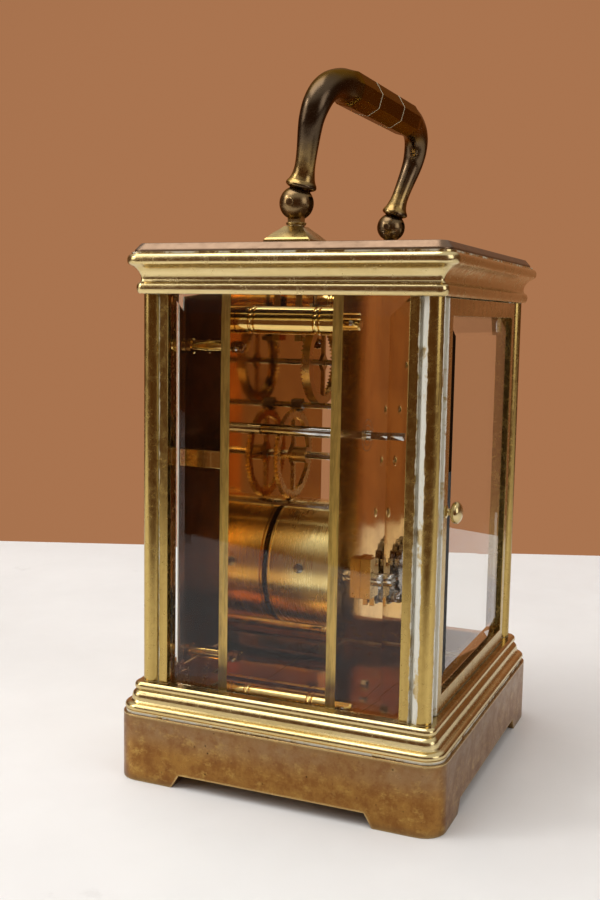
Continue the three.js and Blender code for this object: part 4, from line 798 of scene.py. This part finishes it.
# turned brass feet of the dial, each with a collar
feet = Shell()
for x, z in ((27.2, 110.8), (-27.2, 110.8), (27.2, 29.9), (-27.2, 29.9)):
    feet.lathe([(1.4, -31.97), (2.0, -31.97), (2.0, -31.5), (1.56, -31.2), (1.56, -27.5), (1.78, -27.35), (1.78, -26.95), (1.56, -26.8),
                (1.56, FRONT_Y0 - 0.05), (1.4, FRONT_Y0 - 0.05)], "Y", (x, z), 40)
feet.make("dial_feet_turned", M_EDGE, "case", slot="movement_brass", smooth=26)

PILLARS = {"pillar_top_right": (26.5, 117.1), "pillar_top_left": (-26.5, 117.1), "pillar_bottom_right": (26.5, 21.9), "pillar_bottom_left": (-26.5, 21.9)}
for node, at in PILLARS.items():
    prof = [(0, FRONT_Y0 + 0.1), (1.5, FRONT_Y0 + 0.1), (1.5, FRONT_Y1 + 0.02), (2.7, FRONT_Y1 + 0.02), (2.85, FRONT_Y1 + 0.2)]
    for y in (-14.4, 3.2):
        prof += [(2.85, y - 0.95), (2.45, y - 0.8), (2.4, y - 0.55), (2.75, y - 0.42), (2.85, y - 0.2), (2.85, y + 0.2), (2.75, y + 0.42),
                 (2.4, y + 0.55), (2.45, y + 0.8), (2.85, y + 0.95)]
    prof += [(2.85, BACK_Y0 - 0.2), (2.7, BACK_Y0 - 0.02), (1.5, BACK_Y0 - 0.02), (1.5, BACK_Y1 + 2.4), (1.2, BACK_Y1 + 2.8), (0, BACK_Y1 + 2.9)]
    Shell().lathe(prof, "Y", at, 56).make(node + "_turned", M_EDGE, "case", replaces=(node,), slot="movement_brass", smooth=26)

# taper pins through the pillar tenons and the dial feet
pins = Shell()
for (x, z), lean in zip(PILLARS.values(), (0.4, -0.5, 0.3, -0.3)):
    s = 1 if x > 0 else -1
    rod_between(pins, (x - s * 3.6, 12.5, z - lean), (x + s * 3.6, 12.5, z + lean), 0.42, 0.62)
for x, z in ((27.2, 110.8), (-27.2, 110.8), (27.2, 29.9), (-27.2, 29.9)):
    s = 1 if x > 0 else -1
    rod_between(pins, (x - s * 2.6, -17.9, z + 0.5), (x + s * 3.0, -18.15, z - 0.5), 0.3, 0.5)
    pins.lathe([(0, -18.85), (1.05, -18.85), (1.25, -18.2), (1.1, -17.6), (0.6, -17.3), (0, -17.22)], "Y", (x, z), 24)
pins.make("taper_pins", M_STEEL, "case", slot="polished_steel", smooth=40)


def teeth(n, pitch_r, phase, at, steps=1):
    """Rounded wheel teeth that stay inside the pointed ones of the frame."""
    add, ded = 0.5 * math.pi * pitch_r / n, 0.92 * math.pi * pitch_r / n
    out = []
    for i in range(n):
        a = phase + 2 * math.pi * i / n
        h = math.pi / n
        for f, r in ((-0.46, -ded), (-0.2, 0.0), (-0.08, add * 0.8), (0.0, add), (0.08, add * 0.8), (0.2, 0.0), (0.46, -ded)):
            out.append((at[0] + (pitch_r + r) * math.cos(a + f * 2 * h), at[1] + (pitch_r + r) * math.sin(a + f * 2 * h)))
    return out


def gap(a, b):
    return math.hypot(b[0] - a[0], b[1] - a[1])


r_great = gap(BARREL, INTER) * 78 / 90
drum = Shell()
gear = teeth(78, r_great, 0.0, BARREL)
hole = [(BARREL[0] + 2.1 * math.cos(math.atan2(p[1] - BARREL[1], p[0] - BARREL[0])), BARREL[1] + 2.1 * math.sin(math.atan2(p[1] - BARREL[1], p[0] - BARREL[0]))) for p in gear]
drum.plate_ring(gear, hole, 2.02, 3.98, "Y")
wall = [(18.0, 1.9), (18.0, -17.25), (17.75, -17.5), (18.0, -17.75), (18.0, -18.1), (17.85, -18.25), (16.95, -18.25), (16.8, -18.1), (16.8, 1.6), (3.0, 1.6), (2.2, 1.6), (2.2, 2.3),
        (17.9, 2.3)]
drum.rings([[(BARREL[0] + r * math.cos(2 * math.pi * k / 144), y, BARREL[1] + r * math.sin(2 * math.pi * k / 144)) for k in range(144)] for r, y in wall], closed=True)
drum.make("barrel_drum_turned", M_DRUM, "barrel", replaces=("barrel_drum",), slot="movement_brass", smooth=26)
sc = Shell()
phi = rad(6)
screw(sc, (BARREL[0] + 17.98 * math.cos(phi), -8.6, BARREL[1] + 17.98 * math.sin(phi)), (math.cos(phi), 0, math.sin(phi)), 1.35, 0.55, 0.9)
sc.make("barrel_hook_screw", M_DARKSTEEL, "barrel", slot="polished_steel", smooth=40)

# screws of the platform, the cock, the click, the click spring and the ratchet
sc = Shell()
for x in (-16.6, 16.6):
    for y in (-18.0, 7.4):
        screw(sc, (x, y, 126.2), (0, 0, 1), 1.35, 0.9, 0.3 + x * 0.1 + y)
screw(sc, (13.4, -3.2, 132.1), (0, 0, 1), 1.25, 0.8, 1.1)
screw(sc, (4.0, 14.0, 44.6), (0, 1, 0), 1.15, 0.6, 0.7)
screw(sc, (11.9, 13.95, 50.8), (0, 1, 0), 1.75, 2.6, 0.5)
for x in (-9.2, 9.2):
    for z in (21.0,):
        screw(sc, (x, 11.2, z), (0, 1, 0), 1.5, 0.9, 0.2 + x)
sc.make("movement_screws", M_STEEL, "case", slot="polished_steel", smooth=40)

# polished oil sinks round the rear pivots, and turned rings cut round the setting arbor
sinks = Shell()
for at, r in ((INTER, 1.5), (THIRD, 1.4), (CONTRATE, 1.4), (CENTRE, 1.5)):
    prof = [(0.72, 11.2), (0.8, 11.25), (r * 0.8, 11.25), (r, 11.2), (r * 0.9, 11.1), (0.75, 11.1)]
    sinks.rings([[(at[0] + q * math.cos(2 * math.pi * k / 40), y, at[1] + q * math.sin(2 * math.pi * k / 40)) for k in range(40)] for q, y in prof], closed=True)
sinks.make("pivot_bushes", M_EDGE, "case", slot="movement_brass", smooth=30)
rings_ = Shell()
for r in (2.6, 4.1):
    rings_.plate_ring(circle(r + 0.11, 56, *SETTING), circle(r - 0.11, 56, *SETTING), 11.19, 11.225, "Y")
rings_.make("setting_rings", M_DARKSTEEL, "case", slot="movement_brass", smooth=30)

# polished steel end piece over the balance pivot, recessed at the centre
jewel = Shell().lathe([(0, 132.1), (1.7, 132.1), (1.7, 132.45), (1.5, 132.6), (0.7, 132.6), (0.5, 132.45), (0, 132.45)], "Z", (2.2, -3.2), 40)
jewel.make("balance_end_piece", M_STEEL, "case", slot="polished_steel", smooth=30)


# ------------------------------------------------------------------ dial: fired black figures and minute ring
def dial_point(r, a):
    """r from the centre, a clockwise from twelve as the viewer at -Y sees it."""
    return (CENTRE[0] + r * math.sin(a), CENTRE[1] + r * math.cos(a))


FACE_Y = -33.1
figures = Shell()
for r0, r1 in ((23.75, 23.95), (25.75, 25.95)):
    figures.plate_ring(circle(r1, 180, *CENTRE), circle(r0, 180, *CENTRE), FACE_Y - 0.03, FACE_Y + 0.01, "Y")
for k in range(60):
    a = 2 * math.pi * k / 60
    h = 0.42 if k % 5 == 0 else 0.13
    pts = []
    for r, s in ((23.9, -1), (25.8, -1), (25.8, 1), (23.9, 1)):
        x, z = dial_point(r, a)
        pts.append((x + s * h / 2 * math.cos(a), z - s * h / 2 * math.sin(a)))
    figures.prism(pts, FACE_Y - 0.034, FACE_Y + 0.01, "Y")


def stroke(shell, a, base, p, q, w0, w1):
    """A straight stroke from p to q in a figure's own (across, outward) plane, w0 and w1 wide."""
    (px, py), (qx, qy) = p, q
    pts = [(px - w0 / 2, py), (px + w0 / 2, py), (qx + w1 / 2, qy), (qx - w1 / 2, qy)]
    out = []
    for u, v in pts:
        out.append((CENTRE[0] + (base + v) * math.sin(a) + u * math.cos(a), CENTRE[1] + (base + v) * math.cos(a) - u * math.sin(a)))
    shell.prism(out, FACE_Y - 0.04, FACE_Y + 0.01, "Y")


GLYPH_W = {"I": 1.55, "V": 3.5, "X": 3.5}
for hour, text in enumerate(("XII", "I", "II", "III", "IIII", "V", "VI", "VII", "VIII", "IX", "X", "XI")):
    a = 2 * math.pi * hour / 12
    width = sum(GLYPH_W[c] for c in text)
    u, top = -width / 2, 5.6
    for c in text:
        g = GLYPH_W[c]
        m = u + g / 2
        if c == "I":
            stroke(figures, a, 17.4, (m, 0.1), (m, top - 0.1), 0.78, 0.78)
        elif c == "V":
            stroke(figures, a, 17.4, (m - 0.05, 0.1), (m - 1.15, top - 0.1), 0.75, 0.95)
            stroke(figures, a, 17.4, (m + 0.05, 0.1), (m + 1.2, top - 0.1), 0.22, 0.24)
        else:
            stroke(figures, a, 17.4, (m + 1.1, 0.1), (m - 1.1, top - 0.1), 0.95, 0.95)
            stroke(figures, a, 17.4, (m - 1.15, 0.1), (m + 1.15, top - 0.1), 0.24, 0.24)
        for v in (0.0, top - 0.16):
            stroke(figures, a, 17.4, (m, v), (m, v + 0.16), g * 0.92, g * 0.92)
        u += g
figures.make("dial_figures", M_BLACK, "case", slot="enamel", smooth=30)
collet = Shell().lathe([(0, -34.25), (1.05, -34.25), (1.75, -34.3), (1.75, -34.5), (1.3, -34.85), (0.5, -35.0), (0, -35.0)], "Y", CENTRE, 40)
collet.make("hand_collet", M_EDGE, "centre", slot="wheel_brass", smooth=30)


# ------------------------------------------------------------------ studio: pale floor, soft light, warm surroundings
def floor():
    m = Mat("studio_floor")
    n = m.noise(9, 5, 0.6)
    f = m.noise(160, 5, 0.65)
    vein = m.ramp(m.noise(14, 6, 0.7, None, 1.4), 0.62, 0.7, 0, 0.22)
    col = m.mix(m.ramp(n, 0.3, 0.7), (0.80, 0.80, 0.80), (0.86, 0.86, 0.86))
    col = m.mix(m.math("MULTIPLY", vein, m.ramp(f, 0.45, 0.65)), col, (0.55, 0.54, 0.53))
    m.base(col, 0.0, m.ramp(f, 0.3, 0.7, 0.38, 0.5))
    d = Vector((-0.93470, -0.35543, 0.0))
    side = Vector((-d.y, d.x, 0.0))
    far, near, wide = 0.262, -0.24, 1.6
    me = bpy.data.meshes.new("floor")
    pts = [d * far + side * wide, d * far - side * wide, d * near - side * wide, d * near + side * wide]
    me.from_pydata([(p.x, p.y, 0.0) for p in pts], [], [(0, 1, 2, 3)])
    me.materials.append(m.m)
    ob = bpy.data.objects.new("floor", me)
    COLL.objects.link(ob)


floor()

world = bpy.data.worlds.new("studio")
bpy.context.scene.world = world
world.use_nodes = True
nt = world.node_tree
nt.nodes.clear()
tc = nt.nodes.new("ShaderNodeTexCoord")
sep = nt.nodes.new("ShaderNodeSeparateXYZ")
nt.links.new(tc.outputs["Generated"], sep.inputs[0])


def world_ramp(value, lo, hi, a, b):
    n = nt.nodes.new("ShaderNodeMapRange")
    n.interpolation_type = "SMOOTHSTEP"
    for k, v in (("From Min", lo), ("From Max", hi), ("To Min", a), ("To Max", b)):
        n.inputs[k].default_value = v
    nt.links.new(value, n.inputs["Value"])
    return n.outputs[0]


def world_mix(fac, a, b):
    n = nt.nodes.new("ShaderNodeMix")
    n.data_type = "RGBA"
    nt.links.new(fac, n.inputs[0])
    for s, v in ((n.inputs[6], a), (n.inputs[7], b)):
        if isinstance(v, tuple):
            s.default_value = (*v, 1)
        else:
            nt.links.new(v, s)
    return n.outputs[2]


dot = nt.nodes.new("ShaderNodeVectorMath")
dot.operation = "DOT_PRODUCT"
nt.links.new(tc.outputs["Generated"], dot.inputs[0])
dot.inputs[1].default_value = (-0.935, -0.355, 0.0)
wall = world_mix(world_ramp(dot.outputs["Value"], 0.55, 0.98, 0, 1), (0.12, 0.055, 0.024), (0.40, 0.175, 0.078))
up = world_mix(world_ramp(sep.outputs[2], 0.36, 0.72, 0, 1), wall, (0.72, 0.70, 0.67))
bg = nt.nodes.new("ShaderNodeBackground")
nt.links.new(up, bg.inputs["Color"])
bg.inputs["Strength"].default_value = 1.0
wo = nt.nodes.new("ShaderNodeOutputWorld")
nt.links.new(bg.outputs[0], wo.inputs[0])


def area(name, at, target, size, power, colour=(1, 1, 1), size_y=None):
    ld = bpy.data.lights.new(name, "AREA")
    ld.shape = "RECTANGLE"
    ld.size, ld.size_y = size, size_y or size
    ld.energy = power
    ld.color = colour
    ob = bpy.data.objects.new(name, ld)
    COLL.objects.link(ob)
    ob.location = at
    ob.rotation_mode = "QUATERNION"
    ob.rotation_quaternion = (Vector(target) - Vector(at)).to_track_quat("-Z", "Y")
    return ob


area("key_overhead", (0.15, -0.25, 0.95), (0, 0, 0.05), 0.7, 5.4, (1.0, 0.98, 0.95))
area("window_side", (0.55, -0.75, 0.42), (0, 0, 0.07), 0.45, 2.0, (1.0, 0.985, 0.96), 0.6)
area("lamp_left", (0.40, -0.67, 0.65), (0, 0, 0.15), 0.14, 1.0, (1.0, 0.98, 0.95))
area("window_door", (0.25, 0.95, 0.38), (0, 0, 0.07), 0.5, 1.8, (0.96, 0.98, 1.0), 0.6)

cam = bpy.data.cameras.new("photo_view")
cam_ob = bpy.data.objects.new("photo_view", cam)
COLL.objects.link(cam_ob)
right = Vector((-0.39281762, 0.91946352, 0.01676744))
upv = Vector((-0.10211396, -0.06173144, 0.99285546))
back = Vector((0.91392946, 0.38829893, 0.11813926))
cam_ob.matrix_world = Matrix((
    (right.x, upv.x, back.x, 0.281444),
    (right.y, upv.y, back.y, 0.106539),
    (right.z, upv.z, back.z, 0.118337),
    (0, 0, 0, 1),
))
cam.sensor_width = 36.0
cam.sensor_fit = "AUTO"
cam.lens = 44.279
cam.clip_start, cam.clip_end = 0.005, 20.0
bpy.context.scene.camera = cam_ob
bpy.context.scene.view_settings.view_transform = "Standard"

bpy.context.view_layer.update()
